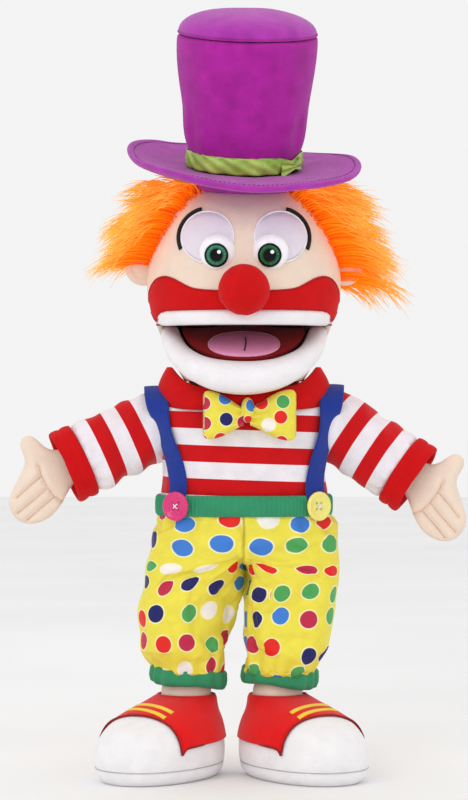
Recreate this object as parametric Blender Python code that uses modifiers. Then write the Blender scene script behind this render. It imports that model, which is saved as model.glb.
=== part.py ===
"""Moving-mouth clown hand puppet, full figure, modelled as its separate sewn pieces.

Metres, +Z up. The puppet faces -Y, so its left side is at +X. The origin is the middle of the
mouth's hinge line, where the puppeteer's palm sits. Cloth pieces that touch keep a 0.3 mm gap.
"""

import math

import bmesh
import bpy
from mathutils import Matrix, Vector

# ---- driving dimensions ----------------------------------------------------------------------
GAP = 0.0004
SOLE_HEIGHT = -0.374  # underside of the shoes
SIDES = {"left": 1, "right": -1}

# Head: (height, half width, depth in front of the axis, depth behind it, forward tilt in degrees).
HEAD_RINGS = (
    (-0.046, 0.050, 0.040, 0.052, 0),
    (-0.034, 0.057, 0.054, 0.062, 0),
    (-0.017, 0.066, 0.065, 0.071, 0),
    (0.003, 0.075, 0.0715, 0.075, 0),
    (0.026, 0.082, 0.073, 0.078, 0),
    (0.046, 0.082, 0.0715, 0.078, 0),
    (0.072, 0.0755, 0.066, 0.074, 2),
    (0.090, 0.0695, 0.060, 0.0695, 6),
    (0.105, 0.063, 0.054, 0.063, 10),
    (0.1155, 0.055, 0.047, 0.055, 14),
    (0.1210, 0.044, 0.040, 0.046, 15),
)
HEAD_SEGMENTS = 32
HEAD_FOAM = 0.009
MOUTH_ROOF = 0.0017  # height of the cut through the face above the hinge line
MOUTH_BACK_ANGLE = math.radians(120)  # where the throat wall starts, turned down from the front
FELT = 0.0018

# Face pieces, as places seen from the front.
EYE_X, EYE_Z = 0.0215, 0.056
EYE_RADIUS = 0.0148
IRIS_RADIUS = 0.0095
PATCH_X, PATCH_Z, PATCH_RADIUS = 0.0295, 0.071, 0.0212
BROW_WIDTH = 0.0034
NOSE = (0.0, -0.084, 0.027)
NOSE_RADIUS = 0.0205

# Jaw: it is drawn shut, then turned open about the hinge line.
JAW_OPEN = math.radians(28)
JAW_BACK_ANGLE = math.radians(66)
LIP_HALF_WIDTH, LIP_DEPTH = 0.060, 0.0725
MOUTH_HALF_WIDTH, MOUTH_DEPTH = 0.051, 0.0605

# Hat: its own frame stands on the middle of the brim.
HAT_BASE = (0.0, 0.002, 0.127)
HAT_TILT = math.radians(15)
BRIM_RADIUS, BRIM_HOLE, BRIM_THICKNESS = 0.098, 0.038, 0.005
BRIM_FLAT = 0.052  # the brim only bends outside this radius
CROWN_BASE, CROWN_TOP, CROWN_HEIGHT = 0.047, 0.0595, 0.112
BAND_HEIGHT = 0.0145

# Shirt: (height, half width, half depth, forward tilt in degrees) about the trunk's axis.
TRUNK_Y = 0.016
SHIRT_RINGS = (
    (-0.154, 0.068, 0.041, 0),
    (-0.141, 0.0695, 0.042, 0),
    (-0.120, 0.068, 0.043, 0),
    (-0.095, 0.0715, 0.043, 0),
    (-0.076, 0.0765, 0.042, 0),
    (-0.067, 0.075, 0.040, 3),
    (-0.0625, 0.067, 0.037, 4),
    (-0.0590, 0.055, 0.032, 5),
)
SHIRT_CLOTH = 0.0032
WAIST_TOP, WAIST_BOTTOM = -0.141, -0.158
SEAT_BOTTOM = -0.186
STRAP_WIDTH = 0.0158
BUTTON_RADIUS = 0.0122

# Arms hang from the shoulder pivots at this angle below level, and a little forward.
SHOULDER = (0.084, 0.014, -0.088)
ARM_DROOP = {"left": math.radians(33.9), "right": math.radians(24.6)}
ARM_FORWARD = math.radians(10)
SLEEVE_END, CUFF_END = 0.0555, 0.074
SLEEVE_FLATNESS = 0.8
WRIST = 0.072

# Legs: both lean the same way, as the figure stands.
HIP_X, HIP_Y, HIP_Z = 0.0385, 0.012, -0.208
HIP_ROOM = 0.0328  # the hollow in the seat that each leg's round top turns in
LEG_LEAN = -0.010
ANKLE_Z = -0.310
LEG_WIDENING = 1.1
TOE_OUT = math.radians(34)

# ---- cloth colours: (red, green, blue), roughness --------------------------------------------
SKIN = ((0.80, 0.60, 0.46), 0.95)
RED = ((0.62, 0.01, 0.015), 0.9)
WHITE = ((0.82, 0.80, 0.82), 0.9)
MOUTH_RED = ((0.30, 0.01, 0.01), 0.85)
TONGUE_PINK = ((0.62, 0.15, 0.34), 0.8)
FELT_LILAC = ((0.74, 0.69, 0.76), 0.9)
BLACK = ((0.012, 0.012, 0.012), 0.7)
EYE_WHITE = ((0.85, 0.85, 0.87), 0.25)
IRIS_GREEN = ((0.05, 0.28, 0.14), 0.25)
HAIR_ORANGE = ((0.91, 0.27, 0.03), 0.8)
PURPLE = ((0.42, 0.02, 0.36), 0.95)
LIME_SATIN = ((0.30, 0.45, 0.04), 0.4)
STRAP_BLUE = ((0.02, 0.06, 0.36), 0.8)
BUTTON_PINK = ((0.80, 0.03, 0.23), 0.3)
BUTTON_YELLOW = ((0.86, 0.80, 0.16), 0.3)
GREEN = ((0.04, 0.30, 0.13), 0.85)
YELLOW = ((0.78, 0.70, 0.08), 0.85)
BOARD = ((0.25, 0.22, 0.20), 0.8)
ELASTIC = ((0.06, 0.06, 0.07), 0.8)


# ---- scene and helpers -----------------------------------------------------------------------
for old in list(bpy.data.objects):
    bpy.data.objects.remove(old, do_unlink=True)

PARTS = bpy.data.collections.new("clown_hand_puppet")
CUTTERS = bpy.data.collections.new("cutters")
for collection in (PARTS, CUTTERS):
    bpy.context.scene.collection.children.link(collection)


def give_finish(obj, finish):
    colour, roughness = finish
    material = bpy.data.materials.new(obj.name)
    material.use_nodes = True
    shader = material.node_tree.nodes["Principled BSDF"]
    shader.inputs["Base Color"].default_value = (*colour, 1.0)
    shader.inputs["Roughness"].default_value = roughness
    shader.inputs["Metallic"].default_value = 0.0
    obj.data.materials.append(material)
    obj.data.shade_smooth()
    obj.data.set_sharp_from_angle(angle=math.radians(40))


def place(obj, finish=None, parent=None, matrix=None):
    """Files the object as a part, or as a hidden cutter where it has no finish."""
    (PARTS if finish else CUTTERS).objects.link(obj)
    if matrix is not None:
        obj.matrix_basis = matrix
    obj.parent = parent
    if finish:
        give_finish(obj, finish)
    else:
        obj.hide_render = True
        obj.display_type = "WIRE"
    return obj


def object_from(name, bm):
    mesh = bpy.data.meshes.new(name)
    bm.normal_update()
    bm.to_mesh(mesh)
    bm.free()
    return bpy.data.objects.new(name, mesh)


def pivot(name, matrix, parent=None):
    empty = bpy.data.objects.new(name, None)
    PARTS.objects.link(empty)
    empty.matrix_basis = matrix
    empty.parent = parent
    return empty


def solidify(obj, thickness, offset=-1.0):
    modifier = obj.modifiers.new("cloth", "SOLIDIFY")
    modifier.thickness = thickness
    modifier.offset = offset
    modifier.use_even_offset = True
    return obj


def combine(obj, other, operation="DIFFERENCE"):
    modifier = obj.modifiers.new(f"{operation.lower()}_{other.name}", "BOOLEAN")
    modifier.operation = operation
    modifier.object = other
    return obj


def oval(half_x, half_y, count, power=2.0):
    """Points round a superellipse; a power of 2 is an ellipse."""
    points = []
    for step in range(count):
        c = math.cos(math.tau * step / count)
        s = math.sin(math.tau * step / count)
        x = math.copysign(abs(c) ** (2 / power), c) * half_x
        y = math.copysign(abs(s) ** (2 / power), s) * half_y
        points.append((x, y))
    return points


def arc(centre, radius_x, radius_y, start, end, steps):
    """Points along part of an ellipse, from one angle in degrees to another."""
    angles = [math.radians(start + (end - start) * i / steps) for i in range(steps + 1)]
    return [
        (centre[0] + radius_x * math.cos(a), centre[1] + radius_y * math.sin(a)) for a in angles
    ]


def loft(name, rings, bottom=True, top=True):
    """A skin through rings of equally many points, with a flat cap at each closed end."""
    bm = bmesh.new()
    loops = [[bm.verts.new(point) for point in ring] for ring in rings]
    for lower, upper in zip(loops, loops[1:]):
        for i in range(len(lower)):
            j = (i + 1) % len(lower)
            bm.faces.new((lower[i], lower[j], upper[j], upper[i]))
    if bottom:
        bm.faces.new(list(reversed(loops[0])))
    if top:
        bm.faces.new(loops[-1])
    return object_from(name, bm)


def ball(name, centre, radii, segments=20, rings=12):
    bm = bmesh.new()
    bmesh.ops.create_uvsphere(bm, u_segments=segments, v_segments=rings, radius=1.0)
    bmesh.ops.transform(bm, matrix=Matrix.Diagonal((*radii, 1.0)), verts=bm.verts)
    bmesh.ops.translate(bm, vec=centre, verts=bm.verts)
    return object_from(name, bm)


def turned(name, profile, steps=24):
    """A solid turned about Z. The profile is (radius, height), down the outer side."""
    bm = bmesh.new()
    points = [bm.verts.new((radius, 0.0, height)) for radius, height in profile]
    for a, b in zip(points, points[1:]):
        bm.edges.new((a, b))
    if profile[0][0] > 0:
        bm.edges.new((points[-1], points[0]))
    obj = object_from(name, bm)
    screw = obj.modifiers.new("turn", "SCREW")
    screw.steps = screw.render_steps = steps
    screw.use_merge_vertices = True
    screw.merge_threshold = 0.00001
    return obj


# Where an outline's own x and y go, and which way it is extruded.
LIE = {
    "X": Matrix(((0, 0, 1), (1, 0, 0), (0, 1, 0))).to_4x4(),
    "Y": Matrix(((1, 0, 0), (0, 0, -1), (0, 1, 0))).to_4x4(),
    "Z": Matrix.Identity(4),
}


def mesh_from_curve(name, curve):
    """The curve's welded mesh. The curve itself is dropped."""
    guide = bpy.data.objects.new(name, curve)
    bpy.context.scene.collection.objects.link(guide)
    bpy.context.view_layer.update()
    graph = bpy.context.evaluated_depsgraph_get()
    mesh = bpy.data.meshes.new_from_object(guide.evaluated_get(graph))
    bpy.data.objects.remove(guide, do_unlink=True)
    bm = bmesh.new()
    bm.from_mesh(mesh)
    bmesh.ops.remove_doubles(bm, verts=bm.verts, dist=0.000001)
    bmesh.ops.recalc_face_normals(bm, faces=bm.faces)
    bm.to_mesh(mesh)
    bm.free()
    mesh.materials.clear()
    return mesh


def prism(name, outline, axis, low, high):
    """A flat outline extruded along an axis."""
    curve = bpy.data.curves.new(name, "CURVE")
    curve.dimensions = "2D"
    curve.fill_mode = "BOTH"
    curve.extrude = (high - low) / 2
    spline = curve.splines.new("POLY")
    spline.points.add(len(outline) - 1)
    for point, (x, y) in zip(spline.points, outline):
        point.co = (x, y, 0.0, 1.0)
    spline.use_cyclic_u = True
    mesh = mesh_from_curve(name, curve)
    shift = Vector((0, 0, 0))
    shift["XYZ".index(axis)] = (low + high) / 2
    mesh.transform(Matrix.Translation(shift) @ LIE[axis])
    return bpy.data.objects.new(name, mesh)


def tube(name, path, radii, sides=12):
    """A closed round bar along the path, each point with its own radius."""
    curve = bpy.data.curves.new(name, "CURVE")
    curve.dimensions = "3D"
    curve.bevel_depth = 1.0
    curve.bevel_resolution = (sides - 4) // 2
    curve.use_fill_caps = True
    spline = curve.splines.new("POLY")
    spline.points.add(len(path) - 1)
    for point, where, radius in zip(spline.points, path, radii):
        point.co = (*where, 1.0)
        point.radius = radius
    return bpy.data.objects.new(name, mesh_from_curve(name, curve))


def strap_arch(name, half_width, height, depth, base, middle_y, thickness=0.0014, steps=14):
    """A band of webbing that arches over in X and Z and is as wide in Y as depth."""
    bm = bmesh.new()
    rows = []
    for x, z in arc((0.0, base), half_width, height, 0, 180, steps):
        rows.append([bm.verts.new((x, middle_y + side * depth / 2, z)) for side in (-1, 1)])
    for a, b in zip(rows, rows[1:]):
        bm.faces.new((a[0], a[1], b[1], b[0]))
    return solidify(object_from(name, bm), thickness, 0.0)


def frame_along(direction, across):
    """A turn whose Z runs along direction, with X as near to across as it can lie."""
    z = Vector(direction).normalized()
    x = Vector(across)
    x = (x - z * z.dot(x)).normalized()
    return Matrix((x, z.cross(x), z)).transposed().to_4x4()


# ---- head ------------------------------------------------------------------------------------
def head_ring(ring, grow):
    height, half_width, front, back, tilt = ring
    turn = Matrix.Rotation(math.radians(tilt), 3, "X")
    points = []
    for x, y in oval(1.0, 1.0, HEAD_SEGMENTS):
        depth = (front if y < 0 else back) + grow
        level = turn @ Vector((0, y * depth, 0))
        points.append((x * (half_width + grow), level.y, height + level.z))
    return points


def head_form(name, grow, bottom=True, top=True):
    """The head's outer form, grown all over by some distance."""
    rings = [head_ring(ring, grow) for ring in HEAD_RINGS]
    rings[0] = [(x, y, z - grow) for x, y, z in rings[0]]
    rings[-1] = [(x, y, z + grow) for x, y, z in rings[-1]]
    return loft(name, rings, bottom, top)


def head_layer(name, inner, outer):
    """A shell that wraps the head from one distance to another, for thin pieces sewn to it."""
    shell = place(head_form(name, inner, bottom=False, top=False))
    return solidify(shell, outer - inner, 1.0)


def sewn_to_face(name, outline, layer, finish):
    """A flat outline seen from the front, wrapped onto the face as one layer of cloth."""
    piece = place(prism(name, outline, "Y", -0.130, -0.001), finish)
    return combine(piece, layer, "INTERSECT")


def make_head():
    shell = place(head_form("head_shell", 0.0, bottom=False), SKIN)
    solidify(shell, HEAD_FOAM)
    reach = 0.100
    wall = (
        0.003 - reach * math.cos(MOUTH_BACK_ANGLE),
        MOUTH_ROOF - reach * math.sin(MOUTH_BACK_ANGLE),
    )
    gape = [(-0.12, MOUTH_ROOF), (-0.12, wall[1]), wall, (0.003, MOUTH_ROOF)]
    combine(shell, place(prism("mouth_gape", gape, "X", -0.12, 0.12)))

    plate = [(x, -y) for x, y in arc((0, 0), 0.0640, 0.0610, 3, 177, 24)]
    place(prism("upper_mouth_plate", plate, "Z", 0.0022, 0.0050), BOARD)
    lining = [(x, -y) for x, y in arc((0, 0), 0.0735, 0.0700, 3, 177, 24)]
    place(prism("upper_mouth_lining", lining, "Z", 0.0004, 0.0013), MOUTH_RED)
    place(strap_arch("finger_strap", 0.042, 0.028, 0.026, 0.0062, -0.034), ELASTIC)


def make_face():
    under = head_layer("face_layer_under", GAP, GAP + FELT)
    lip_layer = head_layer("face_layer_lip", GAP, GAP + 0.0030)

    lip = [(-0.0715, -0.0004), (0.0715, -0.0004), (0.0715, 0.0113), (-0.0715, 0.0113)]
    sewn_to_face("upper_lip", lip, lip_layer, WHITE)

    half = [(0.020, 0.027), (0.038, 0.028), (0.051, 0.034)]
    half += arc((0.065, 0.026), 0.0125, 0.0130, 110, -40, 8)
    half += [(0.0765, 0.0120)]
    mirrored = [(-x, z) for x, z in reversed(half)]
    sewn_to_face("moustache", mirrored + half, under, RED)

    nose = place(ball("nose", NOSE, (NOSE_RADIUS, 0.019, NOSE_RADIUS), 24, 14), RED)
    combine(nose, place(head_form("nose_seat", 2 * GAP + 0.0030)))

    eye_seat = place(head_form("eye_seat", 2 * GAP + FELT))
    ear_seat = place(head_form("ear_seat", GAP))
    for side, sign in SIDES.items():
        patch_centre = (sign * PATCH_X, PATCH_Z)
        patch = arc(patch_centre, PATCH_RADIUS, PATCH_RADIUS, 0, 345, 23)
        sewn_to_face(f"{side}_eye_patch", patch, under, FELT_LILAC)
        inner = PATCH_RADIUS + GAP
        # The brow runs from above the eye round to its outer side.
        ends = (-28, 92) if sign > 0 else (208, 88)
        brow = arc(patch_centre, inner + BROW_WIDTH, inner + BROW_WIDTH, *ends, 12)
        brow += arc(patch_centre, inner, inner, *reversed(ends), 12)
        sewn_to_face(f"{side}_eyebrow", brow, under, BLACK)

        eye_centre = (sign * EYE_X, -0.0655, EYE_Z)
        dome = (EYE_RADIUS, 0.0085, EYE_RADIUS)
        eyeball = place(ball(f"{side}_eyeball", eye_centre, dome, 24, 12), EYE_WHITE)
        combine(eyeball, eye_seat)
        grown = [radius + GAP for radius in dome]
        iris_shell = place(ball(f"{side}_iris_shell", eye_centre, grown, 24, 12))
        solidify(iris_shell, 0.0007, 1.0)
        iris = arc((eye_centre[0], EYE_Z), IRIS_RADIUS, IRIS_RADIUS, 0, 345, 23)
        disc = place(prism(f"{side}_iris", iris, "Y", -0.1, -0.070), IRIS_GREEN)
        combine(disc, iris_shell, "INTERSECT")

        ear_centre = (sign * 0.086, 0.002, 0.050)
        ear = place(ball(f"{side}_ear", ear_centre, (0.0140, 0.0065, 0.0140), 16, 10), SKIN)
        combine(ear, ear_seat)
    return ear_seat


def make_hair(scalp):
    # The fringe on the puppet's left stands further out and hangs lower than the right one.
    tufts = {
        "left": ((0.086, 0.018, 0.073), (0.040, 0.028, 0.045)),
        "right": ((-0.080, 0.018, 0.084), (0.036, 0.028, 0.034)),
    }
    back = place(ball("hair_back", (0.0, 0.050, 0.062), (0.078, 0.046, 0.046), 24, 15), HAIR_ORANGE)
    for side, (centre, radii) in tufts.items():
        sign = SIDES[side]
        ear_room = ball(f"{side}_ear_room", (sign * 0.086, 0.002, 0.050), (0.0146, 0.0071, 0.0146))
        tuft = place(ball(f"hair_{side}", centre, radii, 20, 14), HAIR_ORANGE)
        combine(tuft, scalp)
        combine(tuft, place(ear_room))
        grown = [radius + GAP for radius in radii]
        combine(back, place(ball(f"hair_{side}_room", centre, grown, 20, 14)))
    combine(back, scalp)


# ---- hat -------------------------------------------------------------------------------------
def make_hat():
    hat = pivot("hat", Matrix.Translation(HAT_BASE) @ Matrix.Rotation(HAT_TILT, 4, "X"))

    segments = 40
    rings = []
    for step in range(6):
        share = step / 5
        radius = BRIM_HOLE + (BRIM_RADIUS - BRIM_HOLE) * share
        ring = []
        for x, y in oval(radius, radius, segments):
            # The right side curls up, and the rest droops a little.
            sideways = ((1 - x / radius) / 2) ** 3
            bend = max(0.0, (radius - BRIM_FLAT) / (BRIM_RADIUS - BRIM_FLAT))
            ring.append((x, y, (0.018 * sideways - 0.004) * bend**2))
        rings.append(ring)
    brim = loft("hat_brim", list(reversed(rings)), bottom=False, top=False)
    solidify(place(brim, PURPLE, hat), BRIM_THICKNESS, 0.0)

    floor = BRIM_THICKNESS / 2 + GAP
    top = floor + CROWN_HEIGHT
    wall = [
        (0.0, top),
        (CROWN_TOP - 0.0015, top),
        (CROWN_TOP, top - 0.006),
        (CROWN_TOP - 0.001, top - 0.030),
        (CROWN_BASE + 0.0055, floor + 0.045),
        (CROWN_BASE + 0.0015, floor + BAND_HEIGHT + 0.003),
        (CROWN_BASE - 0.0010, floor + BAND_HEIGHT),
        (CROWN_BASE - 0.0010, floor),
        (0.0, floor),
    ]
    place(turned("hat_crown", wall, 32), PURPLE, hat)

    dome = arc((0.0, top + GAP), CROWN_TOP - 0.0015, 0.0185, 90, 0, 6)
    place(turned("hat_top", [*dome, (0.0, top + GAP)], 32), PURPLE, hat)

    inner = CROWN_BASE - 0.0010 + GAP
    band = [
        (inner + 0.0016, floor + BAND_HEIGHT - GAP),
        (inner + 0.0016, floor),
        (inner, floor),
        (inner, floor + BAND_HEIGHT - GAP),
    ]
    place(turned("hat_band", band, 32), LIME_SATIN, hat)


# ---- jaw -------------------------------------------------------------------------------------
def half_moon(half_width, depth, count=24):
    """The lower mouth's outline: a half oval whose straight side is at the hinge."""
    return [(x, -y) for x, y in arc((0, 0), half_width, depth, 4, 176, count)]


def make_jaw():
    jaw = pivot("jaw_pivot", Matrix.Rotation(JAW_OPEN, 4, "X"))
    moon = half_moon(MOUTH_HALF_WIDTH, MOUTH_DEPTH)
    place(prism("lower_mouth_plate", moon, "Z", -0.0030, -0.0004), BOARD, jaw)
    place(prism("lower_mouth_lining", moon, "Z", 0.0, 0.0009), MOUTH_RED, jaw)

    tongue = ball("tongue", (0, -0.036, 0.0013), (0.029, 0.0220, 0.0017), 24, 10)
    bm = bmesh.new()
    bm.from_mesh(tongue.data)
    faces = bmesh.ops.bisect_plane(
        bm,
        geom=[*bm.verts, *bm.edges, *bm.faces],
        plane_co=(0, 0, 0.0013),
        plane_no=(0, 0, -1),
        clear_outer=True,
    )
    rim = [e for e in faces["geom_cut"] if isinstance(e, bmesh.types.BMEdge)]
    bmesh.ops.holes_fill(bm, edges=rim)
    bmesh.ops.recalc_face_normals(bm, faces=bm.faces)
    bm.to_mesh(tongue.data)
    bm.free()
    place(tongue, TONGUE_PINK, jaw)

    # The lip is a padded roll, thickest in front.
    path, radii = [], []
    for x, y in arc((0, 0), LIP_HALF_WIDTH, LIP_DEPTH, 14, 166, 22):
        fullness = (y / LIP_DEPTH) ** 2
        radius = 0.0068 + 0.0037 * fullness
        path.append((x, -y, 0.0010 - radius))
        radii.append(radius)
    place(tube("lower_lip", path, radii), WHITE, jaw)

    bowl = ball("chin_shell", (0, -0.030, -0.010), (0.056, 0.048, 0.030), 28, 16)
    bm = bmesh.new()
    bm.from_mesh(bowl.data)
    throat = (0, math.cos(JAW_BACK_ANGLE - math.pi / 2), -math.sin(math.pi / 2 - JAW_BACK_ANGLE))
    for point, normal in (((0, 0, -0.0228), (0, 0, 1)), ((0, 0, 0), throat)):
        bmesh.ops.bisect_plane(
            bm,
            geom=[*bm.verts, *bm.edges, *bm.faces],
            plane_co=point,
            plane_no=normal,
            clear_outer=True,
        )
    bm.to_mesh(bowl.data)
    bm.free()
    solidify(place(bowl, SKIN, jaw), 0.004)
    place(strap_arch("thumb_strap", 0.017, -0.020, 0.016, -0.0042, -0.034), ELASTIC, jaw)


# ---- neck and shirt --------------------------------------------------------------------------
def trunk_ring(height, half_width, half_depth, tilt=0.0, grow=0.0, count=32):
    turn = math.tan(math.radians(tilt))
    points = []
    for x, y in oval(half_width + grow, half_depth + grow, count, 2.5):
        points.append((x, TRUNK_Y + y, height + y * turn))
    return points


def shirt_form(name, grow, bottom=True, top=True):
    rings = []
    for height, half_width, half_depth, tilt in SHIRT_RINGS:
        lift = grow if tilt else 0.0
        rings.append(trunk_ring(height + lift, half_width, half_depth, tilt, grow))
    return loft(name, rings, bottom, top)


def make_neck():
    rings = []
    for height in (-0.0475, -0.058, -0.070):
        points = oval(0.045, 0.0185, 28)
        rings.append([(x, 0.0230 + y, height) for x, y in points])
    solidify(place(loft("neck_tube", rings, bottom=False, top=False), SKIN), 0.0025)


def make_shirt():
    body = place(shirt_form("shirt_body", 0.0, bottom=False, top=False), RED)
    solidify(body, SHIRT_CLOTH)
    for side, sign in SIDES.items():
        centre = (sign * SHOULDER[0], SHOULDER[1], SHOULDER[2])
        combine(body, place(ball(f"{side}_armhole", centre, (0.0305, 0.026, 0.0305), 24, 16)))
    mouth = [(x, z - 0.105) for x, z in oval(0.046, 0.032, 28, 2.6)]
    combine(body, place(prism("hand_opening", mouth, "Y", 0.035, 0.090)))

    base = trunk_ring(*SHIRT_RINGS[-1])
    lower = [(x, y, z + 0.0008) for x, y, z in base]
    upper = []
    for x, y, _ in trunk_ring(0.0, 0.067, 0.038):
        # The roll dips under the chin, stands up beside it and leans out behind the head.
        front = max(0.0, min(1.0, (TRUNK_Y - 0.012 - y) / 0.026))
        back = max(0.0, (y - TRUNK_Y) / 0.038)
        upper.append((x, y + 0.008 * back, -0.033 - 0.0270 * front - 0.018 * back))
    middle = [
        tuple(Vector(a).lerp(Vector(b), 0.5) + Vector((a[0], a[1] - TRUNK_Y, 0)) * 0.04)
        for a, b in zip(lower, upper)
    ]
    collar = loft("collar", [lower, middle, upper], bottom=False, top=False)
    solidify(place(collar, RED), 0.0036)

    bow_parts = {"left": (0.0258, 0.0195), "right": (-0.0177, 0.0165)}
    for side, (middle_x, half_width) in bow_parts.items():
        bm = bmesh.new()
        bmesh.ops.create_cube(bm, size=2.0)
        for vertex in bm.verts:
            inner = vertex.co.x * SIDES[side] < 0
            vertex.co.x *= half_width
            vertex.co.y *= 0.0060 if inner else 0.0085
            vertex.co.z *= 0.0120 if inner else 0.0230
        loop = place(object_from(f"bow_{side}", bm), YELLOW)
        loop.location = (middle_x, -0.0345, -0.0765)
        puff = loop.modifiers.new("puff", "SUBSURF")
        puff.levels = puff.render_levels = 2
    place(ball("bow_knot", (0.003, -0.0355, -0.0710), (0.0052, 0.0075, 0.0100), 16, 10), YELLOW)


def make_suspenders():
    layer = place(shirt_form("strap_layer", GAP, bottom=False, top=False))
    solidify(layer, 0.0014, 1.0)
    for side, sign in SIDES.items():
        foot, shoulder = sign * 0.0525, sign * 0.0675
        half = STRAP_WIDTH / 2
        bottom_z, top_z = WAIST_TOP + GAP, -0.040
        outline = [
            (foot - half, bottom_z),
            (foot + half, bottom_z),
            (shoulder + half, top_z),
            (shoulder - half, top_z),
        ]
        strap = place(prism(f"{side}_suspender", outline, "Y", -0.060, 0.090), STRAP_BLUE)
        combine(strap, layer, "INTERSECT")


def make_trousers_top():
    inner = SHIRT_RINGS[0][1:3]
    rings = []
    for height, extra in (
        (WAIST_BOTTOM + GAP, 0.0020),
        (WAIST_BOTTOM + 0.003, 0.0024),
        (WAIST_TOP - 0.003, 0.0024),
        (WAIST_TOP, 0.0020),
    ):
        rings.append(trunk_ring(height, inner[0] + extra, inner[1] + extra))
    band = loft("waistband", rings, bottom=False, top=False)
    solidify(place(band, GREEN), 0.0030, 1.0)

    seat_rings = [
        trunk_ring(WAIST_BOTTOM, 0.0690, 0.0420),
        trunk_ring(WAIST_BOTTOM - 0.006, 0.0740, 0.0450),
        trunk_ring(SEAT_BOTTOM + 0.004, 0.0755, 0.0455),
        trunk_ring(SEAT_BOTTOM, 0.0730, 0.0430),
    ]
    seat = loft("trouser_seat", list(reversed(seat_rings)))
    place(seat, YELLOW)
    for side, sign in SIDES.items():
        socket = (HIP_ROOM * LEG_WIDENING, HIP_ROOM, HIP_ROOM)
        combine(seat, place(ball(f"{side}_hip_room", (sign * HIP_X, HIP_Y, HIP_Z), socket, 24, 16)))

    band_half = [inner[0] + 0.0054, inner[1] + 0.0054]
    for side, finish, x in (("right", BUTTON_PINK, -0.0540), ("left", BUTTON_YELLOW, 0.0590)):
        # The button lies flat on the band, so it faces the way the band does there.
        share = abs(x) / band_half[0]
        y = TRUNK_Y - band_half[1] * (1 - share**2.5) ** (1 / 2.5)
        normal = Vector((
            math.copysign(share**1.5 / band_half[0], x),
            -((TRUNK_Y - y) / band_half[1]) ** 1.5 / band_half[1],
            0,
        )).normalized()
        middle = Vector((x, y, -0.1495)) + normal * 0.0020
        profile = [
            (0.0, 0.0026),
            (BUTTON_RADIUS * 0.62, 0.0026),
            (BUTTON_RADIUS * 0.78, 0.0034),
            (BUTTON_RADIUS - 0.0008, 0.0034),
            (BUTTON_RADIUS, 0.0024),
            (BUTTON_RADIUS, 0.0012),
            (BUTTON_RADIUS - 0.0012, 0.0),
            (0.0, 0.0),
        ]
        matrix = Matrix.Translation(middle) @ frame_along(normal, (0, 0, 1))
        place(turned(f"{side}_button", profile, 24), finish, matrix=matrix)


# ---- arms and hands --------------------------------------------------------------------------
def make_arm(side, sign):
    droop = ARM_DROOP[side]
    level = math.cos(ARM_FORWARD)
    direction = (
        sign * math.cos(droop) * level,
        -math.sin(ARM_FORWARD),
        -math.sin(droop) * level,
    )
    up = (sign * math.sin(droop), 0, math.cos(droop))
    shoulder = Vector((sign * SHOULDER[0], SHOULDER[1], SHOULDER[2]))
    arm = pivot(f"{side}_shoulder", Matrix.Translation(shoulder) @ frame_along(direction, up))

    root = [(x, -z) for x, z in arc((0, 0), 0.026, 0.026, 0, 90, 6)]
    outside = [(0.0, SLEEVE_END), (0.0295, SLEEVE_END), (0.0290, 0.036), (0.0275, 0.016)]
    flat = Matrix.Diagonal((1.0, SLEEVE_FLATNESS, 1.0, 1.0))
    sleeve = turned(f"{side}_sleeve", outside + root, 24)
    place(sleeve, RED, arm, flat)
    start = SLEEVE_END + GAP
    cuff = [
        (0.0305, CUFF_END),
        (0.0315, CUFF_END - 0.003),
        (0.0310, start),
        (0.0252, start),
        (0.0252, CUFF_END),
    ]
    place(turned(f"{side}_cuff", cuff, 24), RED, arm, flat)

    wrist = pivot(f"{side}_wrist", Matrix.Translation((0, 0, WRIST)), arm)
    # Mitten seen from the palm: (along the arm, towards the thumb), from the wrist.
    outline = [(-0.010, -0.014), (0.006, -0.017), (0.018, -0.028), (0.033, -0.034)]
    outline += arc((0.043, -0.0170), 0.0150, 0.0170, -80, 55, 7)
    outline += [(0.042, 0.011), (0.029, 0.018), (0.030, 0.024)]
    outline += arc((0.0220, 0.0305), 0.0080, 0.0075, -20, 110, 5)
    outline += [(0.014, 0.031), (0.008, 0.0180), (-0.010, 0.014)]
    mitten = prism(f"{side}_hand", [(t, s) for s, t in reversed(outline)], "Y", -0.0095, 0.0095)
    hand = place(mitten, SKIN, wrist)
    bevel = hand.modifiers.new("soft_edge", "BEVEL")
    bevel.width = 0.0045
    bevel.segments = 2
    bevel.limit_method = "ANGLE"
    bevel.angle_limit = math.radians(60)


# ---- legs and shoes --------------------------------------------------------------------------
def foot_frame(side, sign):
    ankle = Vector((sign * HIP_X + LEG_LEAN, HIP_Y, ANKLE_Z))
    return pivot(f"{side}_foot", Matrix.Translation(ankle) @ Matrix.Rotation(sign * TOE_OUT, 4, "Z"))


def shoe_form(name, grow, bottom=True, top=True):
    """The shoe about its ankle: rings of (height above the sole, half width, toe, heel)."""
    table = (
        (0.000, 0.037, -0.095, 0.022),
        (0.006, 0.043, -0.1005, 0.026),
        (0.018, 0.045, -0.1020, 0.0275),
        (0.032, 0.044, -0.0980, 0.027),
        (0.044, 0.039, -0.0860, 0.0255),
        (0.052, 0.032, -0.0680, 0.0245),
        (0.058, 0.027, -0.0460, 0.024),
        (0.0625, 0.024, -0.0290, 0.0235),
        (0.0645, 0.022, -0.0230, 0.0225),
    )
    sole = SOLE_HEIGHT - ANKLE_Z
    rings = []
    for height, half_width, toe, heel in table:
        middle, half = (toe + heel) / 2, (heel - toe) / 2
        points = oval(half_width + grow, half + grow, 32, 2.15)
        rings.append([(x, middle + y, sole + height) for x, y in points])
    rings[-1] = [(x, y, z + grow) for x, y, z in rings[-1]]
    return loft(name, rings, bottom, top)


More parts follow.
